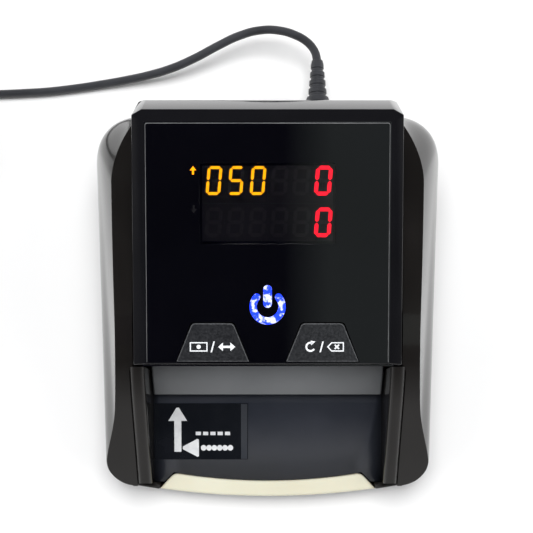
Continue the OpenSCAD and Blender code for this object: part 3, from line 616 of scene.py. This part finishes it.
up_x = -34.5
up_arrow = [(up_x - 1.35, -54.7), (up_x - 1.35, -43), (up_x - 3.6, -43), (up_x - 0.5, -38),
    (up_x + 0.5, -38), (up_x + 3.6, -43), (up_x + 1.35, -43), (up_x + 1.35, -54.7)]
side_y = -53.2
left_arrow = [(-32.6, side_y + 0.5), (-32.6, side_y - 0.5), (-27, side_y - 3.4), (-26.4, side_y - 3.1),
    (-26.4, side_y + 3.1), (-27, side_y + 3.4)]
beads = [arc((-24.6 + 2.06 * i, side_y), 1.08, 0, 342, 19) for i in range(6)]
ruled = [rectangle(-27.6 + 2.8 * i, -25.6 + 2.8 * i, -48.4, -47.1) for i in range(5)]
bm = bmesh.new()
prism(bm, laid_on_tray(rectangle(*label_x, *label_y), 0.005), (0, 0, film_t))
prism(bm, laid_on_tray(rectangle(label_x[1] - 2.6, label_x[1] - 0.2, label_y[0] + 0.2, label_y[1] - 0.2),
    film_t), (0, 0, print_t), 1)
for shape in [up_arrow, left_arrow] + beads + ruled:
    prism(bm, laid_on_tray(shape, film_t), (0, 0, print_t), 2)
finished(bm, "tray_label_film", "base", "label_print", [label_film, label_border, label_white],
    ["tray_label"])

# ---- Side covers ----
# Two gloss black mouldings over the bearing plates, mirror images. The wall leans in and rounds
# the rear corner, and a ruled shoulder closes it down to a short flange beside the head.
plan_heights = (18, 36, 56.6)
mid_plan = side_plan(64.2, half_d - 14, 14, 90, 54)
top_plan = side_plan(54.6, 38, 50, 29.6, 50)
cover_in = 47.9
tray_side_in = 49.3
flange_low = 47.2
plans = [[(cover_in, rear)] + plan + [(tray_side_in, plan[-1][1] - 0.4)] for rear, plan in
    ((half_d, low_plan), (half_d, mid_plan), (63, top_plan))]
wall_rows = 18
shoulder_rows = 5
flange_rows = 3


def blended(start, end, leave, arrive, t):
    """A place between two others, on a curve that leaves and arrives with the given slopes."""
    return (start * (2 * t ** 3 - 3 * t ** 2 + 1) + end * (3 * t ** 2 - 2 * t ** 3)
        + leave * (t ** 3 - 2 * t ** 2 + t) + arrive * (t ** 3 - t ** 2))


def leaning(column, z):
    """A place on the outer wall: upright at the foot, then leaning in more and more."""
    low, mid, top = (Vector(plan[column]) for plan in plans)
    if z <= plan_heights[0]:
        return low
    lower = plan_heights[1] - plan_heights[0]
    upper = plan_heights[2] - plan_heights[1]
    lean = ((mid - low) / lower + (top - mid) / upper) / 2
    if z < plan_heights[1]:
        return blended(low, mid, low * 0, lean * lower, (z - plan_heights[0]) / lower)
    last = (top - mid) / upper * 1.5 - lean * 0.5
    return blended(mid, top, lean * upper, last * upper, (z - plan_heights[1]) / upper)


def wall_top(column):
    """Where the wall of one column meets the shoulder."""
    z = 40
    for _ in range(30):
        z = shoulder(leaning(column, z).y)
    return z


tops = [wall_top(column) for column in range(len(plans[0]))]


def cover_place(column, row):
    z = tops[column]
    if row <= wall_rows:
        z = shell_top + (z - shell_top) * row / wall_rows
        return (*leaning(column, z), z)
    edge = leaning(column, z)
    inner = cover_in if edge.y > rail_end_y else tray_side_in
    if row <= wall_rows + shoulder_rows:
        share = (row - wall_rows) / shoulder_rows
        return (edge.x + (min(inner, edge.x) - edge.x) * share, edge.y, z)
    foot = min(z - 1, flange_low) if edge.y > rail_end_y else z - 1
    share = (row - wall_rows - shoulder_rows) / flange_rows
    return (min(inner, edge.x), edge.y, z + (foot - z) * share)


for side, node in ((1, "right_side_cover"), (-1, "left_side_cover")):
    bm = bmesh.new()
    verts = draped(bm, len(tops), wall_rows + shoulder_rows + flange_rows + 1, cover_place)
    crease = {v for v in verts if abs(v.co.z - shoulder(v.co.y)) < 0.02 and v.co.x > cover_in + 1}
    rim = [e for e in bm.edges if set(e.verts) <= crease and len(e.link_faces) == 2
        and e.calc_face_angle(0) > 0.6]
    rounded(bm, rim, 0.9, 4)
    bmesh.ops.remove_doubles(bm, verts=bm.verts, dist=0.01)
    bmesh.ops.scale(bm, vec=(side, 1, 1), verts=bm.verts)
    facing(bm, (side * 65, 0, 20), (side, 0, 0))
    cover = finished(bm, node + "_moulding", "base", "shell_black", [shell_black], [node], sharp=38)
    walled(cover, 1.8)

# ---- Head shell ----
# The lifting head's casing in piano black: a raised bevelled frame round the glass, chamfered rear
# corners and a rounded back. It is hollow and open below, pierced for the display, the power symbol
# and the keys. The walls round the hinge pins are not pierced.
piano_black = finish_material("piano_black", (0.004, 0.004, 0.005), (0.006, 0.006, 0.0075), 0.05, 0.09,
    25, 5000, 0.002, Specular_IOR_Level=0.5, Coat_Weight=0.3, Coat_Roughness=0.03)
panel_tilt = math.radians(13.8)
to_panel = Matrix.Translation((0, -23.3, 51)) @ Matrix.Rotation(panel_tilt, 4, "X")
panel_normal = to_panel.to_3x3() @ Vector((0, 0, 1))
panel_half_w = 42.6
panel_len = 83.6
panel_t = 2
frame_drop = 1.3
frame_end = 88.2
frame_top_half = 43
frame_top_span = (-0.5, 84.1)
head_front_y = -20.5
rear_round = (59.4, 53.65)
rear_round_r = 12
head_rear_y = rear_round[0] + rear_round_r
key_x = 19.2
key_len = 13.5
key_front_half = 12.7
key_back_half = 7.2
key_start = 0.35
chamfer_at = (60.4, 70.8)
chamfer_normal = (0.478, 0.738, 0.476)
window_half = 23.6
window_span = (41.6, 69.7)
power_s = 19.7


def panel_yz(s, n):
    point = to_panel @ Vector((0, s, n))
    return (point.y, point.z)


def key_outline(x, grow):
    """The key's trapezoid, or its opening when grown, with rounded rear corners."""
    start, end = key_start - grow, key_start + key_len + grow
    return softened([(x - key_front_half - grow, start), (x + key_front_half + grow, start),
        (x + key_back_half + grow, end), (x - key_back_half - grow, end)], 1.3, (2, 3))


head_profile = [panel_yz(-1, -frame_drop), panel_yz(frame_end, -frame_drop)]
head_profile += arc(rear_round, rear_round_r, 32.7, 0, 12)
head_profile += [(head_rear_y, exit_z + path_gap), (ramp_end, exit_z + path_gap),
    (ramp_start, feed_z + path_gap), (head_front_y + 2, feed_z + path_gap), (head_front_y, 23.3),
    (head_front_y, 40), panel_yz(-1, -8)]
bm = bmesh.new()
prism(bm, [(-head_half_w, y, z) for y, z in head_profile], (2 * head_half_w, 0, 0))
for side in (-1, 1):
    cut = sliced(bm, (side * head_half_w, *chamfer_at), (side * chamfer_normal[0], *chamfer_normal[1:]),
        clear=True)
    bmesh.ops.edgeloop_fill(bm, edges=picked(cut, bmesh.types.BMEdge))
bmesh.ops.recalc_face_normals(bm, faces=bm.faces)


def widest_top(bm):
    """The largest face that looks out of the panel."""
    tops = [f for f in bm.faces if f.normal.dot(panel_normal) > 0.999]
    return max(tops, key=lambda f: f.calc_area())


def set_loop(face, half, span, corner, height):
    """Moves the six corners of a top face to a frame with small rear chamfers."""
    inverse = to_panel.inverted()
    for vert in face.verts:
        x, s, _ = inverse @ vert.co
        side = math.copysign(1, x)
        if s < 10:
            spot = (side * half, span[0], height)
        elif abs(x) > half + 1.5 or (abs(x) > half - 0.6 and s < span[1] - 0.2):
            spot = (side * half, span[1] - corner, height)
        else:
            spot = (side * (half - 1.4 * corner), span[1], height)
        vert.co = to_panel @ Vector(spot)


top = widest_top(bm)
bmesh.ops.inset_region(bm, faces=[top], thickness=1, use_even_offset=True)
set_loop(top, frame_top_half, frame_top_span, 0.4, 0)
bm.normal_update()
sharp = [e for e in bm.edges if len(e.link_faces) == 2 and e.calc_face_angle(0) > 0.25
    and min(v.co.z for v in e.verts) > 24]
rounded(bm, sharp, 0.4, 3, clamp=True)
bm.normal_update()
top = widest_top(bm)
bmesh.ops.inset_region(bm, faces=[top], thickness=0.28, use_even_offset=True)
bmesh.ops.inset_region(bm, faces=[top], thickness=0.01, depth=-panel_t, use_even_offset=True)
seat_edges = list(top.edges)
bmesh.ops.delete(bm, geom=[top], context="FACES_ONLY")
seat_holes = [opening(window_half, window_span, -0.5), rectangle(-7.6, 7.6, power_s - 8.2, power_s + 9.2),
    key_outline(-key_x, 0.15), key_outline(key_x, 0.15)]
for hole in seat_holes:
    seat_edges += closed_line(bm, [to_panel @ Vector((x, s, -panel_t)) for x, s in hole])
bmesh.ops.triangle_fill(bm, use_beauty=True, edges=seat_edges)
facing(bm, (0, head_rear_y, 45), (0, 1, 0))
below = [f for f in bm.faces if f.normal.z < -0.25 and f.calc_center_median().z < 33]
bmesh.ops.delete(bm, geom=below, context="FACES")
head_case = finished(bm, "head_casing", "head", "head_black", [piano_black], ["head_shell"], sharp=12)
walled(head_case, 1.6)

# ---- Glass panel ----
# A sheet of black-printed acrylic, mirror flat, let into the frame and glued. It is cut out for
# the display filter, the power symbol and the two keys; two small arrows shine through its print.
# Its narrow outer chamfer is coloured light grey, a painted highlight along the glass's edges.
panel_gloss = finish_material("panel_gloss", (0.0012, 0.0012, 0.0018), (0.002, 0.002, 0.003), 0.015,
    0.03, 20, 300, 0.0008, Specular_IOR_Level=0.5)


def lit_by_ramp(material):
    """Lets a material shine with its own wandering colour."""
    nodes, links = material.node_tree.nodes, material.node_tree.links
    links.new(nodes["Color Ramp"].outputs["Color"], nodes["Principled BSDF"].inputs["Emission Color"])


def glowing(name, colour, strength):
    """A lit print or lens: it shines with its own colour, a little unevenly."""
    material = finish_material(name, colour, [0.8 * part for part in colour], 0.3, 0.4, 900, 3000, 0.002,
        Emission_Strength=strength)
    lit_by_ramp(material)
    return material


amber_lit = glowing("amber_lit", (1.0, 0.3, 0.001), 1.1)
# A light grey that paints a highlight on the glass's outer chamfer.
edge_painted_highlight = finish_material("edge_painted_highlight", (0.17, 0.175, 0.18), (0.3, 0.305, 0.31), 0.1, 0.2, 60, 900,
    0.002)
print_dim = finish_material("print_dim", (0.006, 0.006, 0.007), (0.009, 0.009, 0.0105), 0.25, 0.35, 500,
    2000, 0.002)
symbol_r = 6.3
symbol_in_r = 3.8
symbol_gap = 49
stem_half = 1.5
stem_span = (1.1, 6)


def power_symbol(grow):
    """Outlines of the broken ring and of its stem, each with round ends."""
    half = (symbol_r - symbol_in_r) / 2 + grow
    middle = (symbol_r + symbol_in_r) / 2
    first, last = 90 + symbol_gap, 450 - symbol_gap
    ends = [(middle * math.cos(math.radians(a)), power_s + middle * math.sin(math.radians(a)))
        for a in (last, first)]
    ring = arc((0, power_s), symbol_r + grow, first, last, 40)
    ring += arc(ends[0], half, last, last + 180, 10)[1:-1]
    ring += arc((0, power_s), symbol_in_r - grow, last, first, 32)
    ring += arc(ends[1], half, first + 180, first + 360, 10)[1:-1]
    stem = arc((0, power_s + stem_span[1]), stem_half + grow, 0, 180, 10)
    return ring, stem + arc((0, power_s + stem_span[0]), stem_half + grow, 180, 360, 10)


def panel_plate(bm, outline, holes, low, high, edge, rim=0, edge_index=-1):
    """A plate in the panel's own frame, from height low to high, with softened upper edges.

    The rim is a wider chamfer along the panel's outer edges, in its own material, the fourth one, a light
    grey that paints a highlight on them.
    """
    faces = pierced(bm, outline, holes)
    grown = bmesh.ops.extrude_face_region(bm, geom=faces, use_keep_orig=True)["geom"]
    bmesh.ops.translate(bm, vec=(0, 0, low - high), verts=picked(grown, bmesh.types.BMVert))
    outward(bm)
    if rim:
        outer = [e for e in bm.edges if e.calc_face_angle(0) > 0.1 and all(v.co.z > -0.001
            and (abs(v.co.x) > panel_half_w - 1 or v.co.y > panel_len - 1) for v in e.verts)]
        outer = [e for e in outer if any(abs(f.normal.z) > 0.9 for f in e.link_faces)]
        # The chamfer takes material 3, a light grey painted highlight.
        rounded(bm, outer, rim, 1, material=3)
    upper = [e for e in bm.edges if all(v.co.z > -0.001 for v in e.verts) and e.calc_face_angle(0) > 1]
    rounded(bm, upper, edge, 2, material=edge_index)
    bmesh.ops.translate(bm, vec=(0, 0, high), verts=bm.verts)


def on_panel(bm, *details):
    """Finishes a piece that is drawn in the panel's own frame."""
    bm.transform(to_panel)
    return finished(bm, *details, sharp=18)


def panel_arrow(x, s, turn):
    """A small arrow print, pointing up the panel or down it."""
    points = [(-0.34, -1.35), (0.34, -1.35), (0.34, 0.1), (1.1, 0.1), (0, 1.55), (-1.1, 0.1), (-0.34, 0.1)]
    return [(x + turn * px, s + turn * ps) for px, ps in points]


def notch(x):
    """The part of a key's opening inside the panel's front edge, from left to right."""
    points = key_outline(x, 0.4)
    rise = (panel_edge - points[0][1]) / (key_len + 0.8)
    slant = (key_front_half - key_back_half) * rise
    rear = points[2:]
    return [(points[0][0] + slant, panel_edge)] + rear[::-1] + [(points[1][0] - slant, panel_edge)]


panel_edge = 0.1
half = panel_half_w - 0.15
far = panel_len - 0.15
panel_corner = 0.8
panel_outline = (arc((half - panel_corner, far - panel_corner), panel_corner, 0, 90, 6)
    + arc((-half + panel_corner, far - panel_corner), panel_corner, 90, 180, 6)
    + [(-half, panel_edge)] + notch(-key_x) + notch(key_x) + [(half, panel_edge)])
bm = bmesh.new()
panel_holes = [opening(window_half, window_span, 0.03), *power_symbol(0.06)]
panel_plate(bm, panel_outline, panel_holes, -panel_t + 0.02, 0, 0.03, rim=0.26)
for shape, index in ((panel_arrow(-25.8, 67, 1), 1), (panel_arrow(-25.6, 53.8, -1), 2)):
    prism(bm, [(x, s, 0.001) for x, s in shape], (0, 0, 0.012), index)
on_panel(bm, "glass_panel", "head", "panel_gloss", [panel_gloss, amber_lit, print_dim, edge_painted_highlight],
    ["front_panel"])

# ---- Display filter ----
# A smoked acrylic filter let into the panel's window, flush with its face. It hides the modules
# behind it until they are lit.
smoked = finish_material("smoked", (0.36, 0.35, 0.36), (0.34, 0.33, 0.34), 0.015, 0.03, 20, 300, 0.0005,
    Transmission_Weight=1.0, IOR=1.45)
bm = bmesh.new()
panel_plate(bm, rectangle(-window_half, window_half, *window_span), [], -panel_t + 0.02, 0, 0.01)
on_panel(bm, "smoked_filter", "head", "smoked_lens", [smoked], ["display_window"])

# ---- Filter mask ----
# A black printed border on a thin film under the filter. It hides the rim of the modules, so that
# only their faces show through.
bm = bmesh.new()
mask_hole = rectangle(-22.8, 22.8, window_span[0] + 0.85, window_span[1] - 0.85)
panel_plate(bm, opening(window_half, window_span, -0.1), [mask_hole], -2.1, -1.99, 0.01)
on_panel(bm, "filter_mask", "head", "panel_gloss", [panel_gloss])

# ---- Digit modules ----
# Potted seven-segment modules soldered to the display board: three amber digits, three red ones
# beside them and six red ones below. Each face is dark grey with a slanted, six-sided light pipe
# for every segment.
potting = finish_material("potting", (0.018, 0.018, 0.02), (0.024, 0.024, 0.027), 0.5, 0.6, 200, 2500, 0.01)
unlit_pipe = finish_material("unlit_pipe", (0.05, 0.048, 0.05), (0.062, 0.06, 0.062), 0.4, 0.5, 600,
    2500, 0.005)
amber_pipe = glowing("amber_pipe", (1.0, 0.4, 0.002), 4.6)
red_pipe = glowing("red_pipe", (1.0, 0.004, 0.02), 5.5)
digit_pitch = 7.65
digit_half_h = 4.5
slant = math.tan(math.radians(5))
module_face = -2.15
module_back = -10.2
row_middle = (49.1, 63.6)
row_edge = (42.3, 55.65, 69)
lit_segments = {"0": "abcdef", "5": "afgcd"}


def segment_outlines(x, s, w, t):
    """The seven six-sided segments, 2 t wide, of a digit with its middle at (x, s), by letter."""
    h = digit_half_h
    spots = {"a": (0, h, 0), "g": (0, 0, 0), "d": (0, -h, 0), "f": (-w, h / 2, 1), "b": (w, h / 2, 1),
        "e": (-w, -h / 2, 1), "c": (w, -h / 2, 1)}
    shapes = {}
    for letter, (cx, cy, upright) in spots.items():
        long = (h / 2 if upright else w) - 0.12
        bar = [(-long, 0), (-long + t, -t), (long - t, -t), (long, 0), (long - t, t), (-long + t, t)]
        turned_bar = [(-b, a) if upright else (a, b) for a, b in bar]
        shapes[letter] = [(x + cx + a + (cy + b) * slant, s + cy + b) for a, b in turned_bar]
    return shapes


for name, node, first, digits, row, lit, half_w, half_t, shift in (
        ("currency_module", "currency_digits", -2.5, "050", 1, amber_pipe, 2.05, 0.5, 0.5),
        ("count_module", "count_digits", 0.5, "  0", 1, red_pipe, 2.25, 0.66, 0.3),
        ("total_module", "total_digits", -2.5, "     0", 0, red_pipe, 2.25, 0.66, 0.3)):
    x0 = (first - 0.5) * digit_pitch
    x1 = x0 + len(digits) * digit_pitch
    bm = bmesh.new()
    panel_plate(bm, rectangle(x0 + 0.03, x1 - 0.03, row_edge[row] + 0.03, row_edge[row + 1] - 0.03), [],
        module_back, module_face, 0.1)
    for i, digit in enumerate(digits):
        middle = (first + i) * digit_pitch + shift
        for letter, shape in segment_outlines(middle, row_middle[row], half_w, half_t).items():
            index = 2 if letter in lit_segments.get(digit, "") else 1
            prism(bm, [(x, s, module_face + 0.004) for x, s in shape], (0, 0, 0.07), index)
    on_panel(bm, name, "head", "led_grey", [potting, unlit_pipe, lit], [node])

# ---- Power symbol ----
# A clear light guide behind the panel whose raised ring and stem fill the cut-out; blue diodes
# shine through it, so it glows blue with nearly white patches.
power_blue = finish_material("power_blue", (0.012, 0.045, 0.95), (0.66, 0.71, 0.95), 0.1, 0.25, 560, 1500,
    0.12, Emission_Strength=0.95)
glow_ramp = power_blue.node_tree.nodes["Color Ramp"].color_ramp
glow_ramp.elements[0].position = 0.49
glow_ramp.elements[1].position = 0.64
lit_by_ramp(power_blue)
guide_clear = finish_material("guide_clear", (0.02, 0.04, 0.3), (0.03, 0.06, 0.4), 0.2, 0.3, 60, 900, 0.01)
bm = bmesh.new()
panel_plate(bm, rectangle(-7.4, 7.4, power_s - 8, power_s + 9), [], -4.4, -panel_t - 0.01, 0.1)
for shape in power_symbol(0):
    far_face = prism(bm, [(x, s, -panel_t - 0.1) for x, s in shape], (0, 0, panel_t + 0.1), 1)
    for face in far_face:
        rounded(bm, list(face.edges), 0.12, 2, material=1)
on_panel(bm, "power_light", "head", "power_glow", [guide_clear, power_blue], ["power_light_guide"])

# ---- Keys ----
# Two dark grey keys with satin, finely grained tops, standing a little proud of the panel. Each has
# a white printed sign, a hidden stop flange and a plunger over its switch. Their rounded upper edges
# are coloured a lighter grey, a painted highlight.
key_satin = finish_material("key_satin", (0.011, 0.0115, 0.013), (0.028, 0.029, 0.032), 0.36, 0.5, 1300,
    3200, 0.04, Coat_Weight=0.5, Coat_Roughness=0.14)
# A lighter grey for the keys' rounded upper edges: a painted highlight.
key_edge_painted_highlight = finish_material("key_edge_painted_highlight", (0.06, 0.062, 0.066), (0.12, 0.123, 0.13), 0.16, 0.26, 1300,
    3200, 0.01)
# The white print of the key signs. Its faint emission is painted light that makes the print look brighter.
legend_print_painted_glow = finish_material("legend_print_painted_glow", (0.86, 0.88, 0.9), (0.78, 0.8, 0.83), 0.4, 0.5, 900, 3000,
    0.005, Emission_Color=(0.8, 0.85, 0.9, 1), Emission_Strength=0.12)
key_top = 0.35
key_bottom = -5.4
sign_s = 5.6
stroke = 0.27
plunger_s = 7.2
plunger_r = 2


def band(points, half):
    """The outline of a line of the given half width through points."""
    left, right = [], []
    for i, point in enumerate(points):
        ahead = Vector(points[min(i + 1, len(points) - 1)]) - Vector(points[max(i - 1, 0)])
        across = Vector((-ahead.y, ahead.x)).normalized() * half
        left.append((point[0] + across.x, point[1] + across.y))
        right.append((point[0] - across.x, point[1] - across.y))
    return left + right[::-1]


def moved(shapes, x, s):
    return [[(x + a, s + b) for a, b in shape] for shape in shapes]


slash = [[(-0.75, -1.9), (-0.25, -1.9), (0.75, 1.9), (0.25, 1.9)]]
note_sign = [rectangle(-3.1, 3.1, 1.25, 1.65), rectangle(-3.1, 3.1, -1.65, -1.25),
    rectangle(-3.1, -2.7, -1.24, 1.24), rectangle(2.7, 3.1, -1.24, 1.24), arc((0, 0), 0.75, 0, 340, 17)]
two_way_sign = [[(-3, 0), (-1.3, -1.5), (-1.3, -0.4), (1.3, -0.4), (1.3, -1.5), (3, 0), (1.3, 1.5),
    (1.3, 0.4), (-1.3, 0.4), (-1.3, 1.5)]]
repeat_sign = [band(arc((0, 0), 1.45, 60, 330, 24), 0.32), [(0.25, 0.55), (1.75, 1.9), (0.0, 2.2)]]
clear_sign = [[(-3, 0), (-1.5, -1.65), (2.9, -1.65), (2.9, -1.25), (-1.3, -1.25), (-2.45, 0), (-1.3, 1.25),
    (2.9, 1.25), (2.9, 1.65), (-1.5, 1.65)], rectangle(2.5, 2.9, -1.24, 1.24),
    band([(-0.3, -0.75), (1.2, 0.75)], stroke), band([(-0.3, 0.75), (1.2, -0.75)], stroke)]
key_signs = {
    "left_key": moved(note_sign, -4.9, 0) + moved(slash, 0, 0) + moved(two_way_sign, 4.9, 0),
    "right_key": moved(repeat_sign, -4.2, 0) + moved(slash, -0.3, 0) + moved(clear_sign, 4.6, 0)}
for node, x in (("left_key", -key_x), ("right_key", key_x)):
    bm = bmesh.new()
    # The rounded upper edges take the third material, a lighter grey painted highlight.
    panel_plate(bm, key_outline(x, 0), [], key_bottom, key_top, 0.3, edge_index=2)
    stop = [(px, max(ps, 0.8)) for px, ps in key_outline(x, 1.1)]
    prism(bm, [(px, ps, key_bottom) for px, ps in stop], (0, 0, 1.2))
    prism(bm, [(px, ps, key_bottom - 0.6) for px, ps in
        arc((x, plunger_s), plunger_r, 0, 345, 23)], (0, 0, 1))
    # The signs shine faintly with painted light from their print material.
    for shape in moved(key_signs[node], x, sign_s):
        prism(bm, [(px, ps, key_top + 0.001) for px, ps in shape], (0, 0, 0.015), 1)
    on_panel(bm, node + "_cap", node, "key_grey", [key_satin, legend_print_painted_glow, key_edge_painted_highlight], [node])

# ---- Upper note guide ----
# A grey moulding under the head that holds the note down: a plate that follows the path, pierced
# for the idlers and sensors, with a smooth funnel lip that stands out over the feed slot.
guide_grey = finish_material("guide_grey", (0.125, 0.132, 0.14), (0.155, 0.162, 0.17), 0.3, 0.4, 40, 2200,
    0.015)
guide_half = head_half_w - 2.1
guide_t = 1.6
lip_half = 43.1
bm = bmesh.new()
pierced(bm, rectangle(-guide_half, guide_half, head_front_y, head_rear_y - 2.3),
    roller_windows(idler_r) + [sensor_window])
bend_to_path(bm, path_gap)
facing(bm, (0, -15, feed_z + path_gap), (0, 0, -1))
note_guide = finished(bm, "note_guide_plate", "head", "guide_grey", [guide_grey], ["upper_note_guide"],
    sharp=12)
walled(note_guide, guide_t)

lip_tip, lip_bulge, lip_top = Vector((-33.2, 22.1)), Vector((-28.2, 29.2)), Vector((-20.8, 33.9))
lip_face = [bent(lip_tip, lip_bulge, lip_top, i / 14) for i in range(15)]
lip_inside = [(-20.8, 31.8), (-23.8, 28.6), (-28.6, 23.1), (head_front_y + 1, 23.1),
    (head_front_y + 1, feed_z + path_gap), (-33.0, feed_z + path_gap)]
bm = bmesh.new()
prism(bm, [(-lip_half, y, z) for y, z in lip_face + lip_inside], (2 * lip_half, 0, 0))
ends = [e for e in bm.edges if abs(e.verts[0].co.x - e.verts[1].co.x) < 0.01
    and all(v.co.z > 22 and v.co.y < -20.9 for v in e.verts)
    and e.calc_face_angle(0) > 1 and (e.verts[0].co.y - e.verts[1].co.y) != 0]
rounded(bm, ends, 0.9, 4)
outward(bm)
finished(bm, "funnel_lip", "head", "guide_grey", [guide_grey], sharp=40)

# ---- Parts that keep their own shape ----
# Turned, stamped and moulded parts inside the machine, and the feet, screws and blades outside.
# Each group is finished in the material that such a part is made of.
ground_steel = finish_material("ground_steel", (0.5, 0.51, 0.53), (0.64, 0.65, 0.67), 0.2, 0.34, 300,
    2500, 0.01, stretch=(0.15, 1, 1), metallic=1.0)
zinc_sheet = finish_material("zinc_sheet", (0.46, 0.47, 0.49), (0.6, 0.61, 0.62), 0.3, 0.48, 130, 1800,
    0.012, metallic=1.0)
nickel_blade = finish_material("nickel_blade", (0.6, 0.58, 0.53), (0.72, 0.7, 0.65), 0.18, 0.3, 250, 2500,
    0.006, stretch=(1, 0.2, 1), metallic=1.0)
sintered_bronze = finish_material("sintered_bronze", (0.4, 0.26, 0.12), (0.52, 0.36, 0.19), 0.4, 0.55,
    900, 3000, 0.03, metallic=1.0)
moulded_rubber = finish_material("moulded_rubber", (0.022, 0.022, 0.023), (0.036, 0.036, 0.037), 0.62,
    0.8, 160, 1500, 0.05)
ribbed_belt = finish_material("ribbed_belt", (0.014, 0.014, 0.014), (0.024, 0.024, 0.024), 0.55, 0.7, 500,
    1200, 0.08, stretch=(0.1, 1, 1))
white_acetal = finish_material("white_acetal", (0.72, 0.7, 0.64), (0.8, 0.78, 0.73), 0.35, 0.48, 80, 2200,
    0.01, Subsurface_Weight=0.15, Subsurface_Scale=0.002)
board_mask = finish_material("board_mask", (0.006, 0.07, 0.03), (0.012, 0.13, 0.055), 0.25, 0.4, 450,
    1500, 0.03, stretch=(1, 0.25, 1))
epoxy_black = finish_material("epoxy_black", (0.014, 0.014, 0.015), (0.024, 0.024, 0.026), 0.45, 0.6, 300,
    2600, 0.02)
infrared_blue = finish_material("infrared_blue", (0.012, 0.02, 0.07), (0.02, 0.03, 0.1), 0.08, 0.16, 60,
    1500, 0.004, Coat_Weight=0.4)
carried = (
    (ground_steel, ("case_screws", "hinge_pins", "motor_shaft", "front_drive_shaft", "rear_drive_shaft",
        "front_idler_axle", "rear_idler_axle", "idler_springs", "plug_barrel", "magnetic_head")),
    (zinc_sheet, ("left_bearing_plate", "right_bearing_plate", "motor", "motor_strap")),
    (nickel_blade, ("adapter_blades",)),
    (sintered_bronze, ("shaft_bushes",)),
    (moulded_rubber, ("rubber_feet", "front_drive_rollers", "rear_drive_rollers")),
    (ribbed_belt, ("motor_belt", "transfer_belt")),
    (white_acetal, ("motor_pulley", "front_pulley", "rear_pulley", "front_idler_rollers",
        "rear_idler_rollers", "idler_holders")),
    (board_mask, ("main_board", "display_board", "light_bar_board")),
    (epoxy_black, ("board_parts", "dc_jack", "encoder_sensor", "encoder_disc", "key_switches")),
    (infrared_blue, ("lower_sensor_bar", "upper_sensor_bar")),
    (cord_vinyl, ("wiring_harness",)))
for material, names in carried:
    for name in names:
        node_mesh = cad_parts[name].data
        node_mesh.materials.clear()
        node_mesh.materials.append(material)

# ---- Studio ----
# A wide pale table, a soft overhead light with two weaker ones at the sides, and a dim ceiling board
# high above the machine, so that its flat glass shows black, a little greyer towards the right.
floor_white = finish_material("floor_white", (0.9, 0.9, 0.9), (0.87, 0.87, 0.87), 0.5, 0.6, 4, 200, 0.02)
bm = bmesh.new()
bmesh.ops.create_grid(bm, x_segments=2, y_segments=2, size=4)
floor_mesh = bpy.data.meshes.new("floor")
bm.to_mesh(floor_mesh)
bm.free()
floor_mesh.materials.append(floor_white)
link(bpy.data.objects.new("floor", floor_mesh))

board_dark = bpy.data.materials.new("board_dark")
board_dark.use_nodes = True
board_nodes, board_links = board_dark.node_tree.nodes, board_dark.node_tree.links
set_inputs(board_nodes["Principled BSDF"], Base_Color=(0.004, 0.004, 0.005, 1), Roughness=1,
    Emission_Strength=1)
across = board_nodes.new("ShaderNodeSeparateXYZ")
shine = board_nodes.new("ShaderNodeValToRGB")
two_stops(shine.color_ramp, 0.03, 0.11, (0, 0, 0.02), (0.3, 0.34, 0.33))
board_links.new(board_nodes.new("ShaderNodeTexCoord").outputs["Object"], across.inputs["Vector"])
board_links.new(across.outputs["X"], shine.inputs["Fac"])
board_links.new(shine.outputs["Color"], board_nodes["Principled BSDF"].inputs["Emission Color"])
bm = bmesh.new()
bmesh.ops.create_grid(bm, x_segments=1, y_segments=1, size=0.34)
board_mesh = bpy.data.meshes.new("dark_board")
bmesh.ops.translate(bm, vec=(0, -0.38, 1.35), verts=bm.verts)
bm.to_mesh(board_mesh)
bm.free()
board_mesh.materials.append(board_dark)
dark_board = link(bpy.data.objects.new("dark_board", board_mesh))
dark_board.visible_shadow = False
dark_board.visible_diffuse = False
dark_board.visible_camera = False

for name, place, energy, size in (
        ("overhead", (0, 0.5, 1.6), 29, 1.2),
        ("left_soft", (-1.3, -0.2, 0.9), 7, 0.9),
        ("right_soft", (1.3, -0.2, 0.9), 7, 0.9)):
    lamp_data = bpy.data.lights.new(name, "AREA")
    lamp_data.energy = energy
    lamp_data.size = size
    lamp = link(bpy.data.objects.new(name, lamp_data))
    lamp.location = place
    lamp.rotation_euler = (-Vector(place)).to_track_quat("-Z", "Y").to_euler()
    lamp.visible_glossy = False

world = bpy.data.worlds.new("studio")
world.use_nodes = True
sky_nodes, sky_links = world.node_tree.nodes, world.node_tree.links
direction = sky_nodes.new("ShaderNodeTexCoord")
parts = sky_nodes.new("ShaderNodeSeparateXYZ")
height = sky_nodes.new("ShaderNodeValToRGB")
two_stops(height.color_ramp, 0, 0.72, (1, 1, 1), (0.05, 0.05, 0.055))
sky_links.new(direction.outputs["Generated"], parts.inputs["Vector"])
sky_links.new(parts.outputs["Z"], height.inputs["Fac"])
sky_links.new(height.outputs["Color"], sky_nodes["Background"].inputs["Color"])
set_inputs(sky_nodes["Background"], Strength=0.95)
bpy.context.scene.world = world
bpy.context.scene.view_settings.view_transform = "Standard"
bpy.context.scene.view_settings.exposure = 0.0
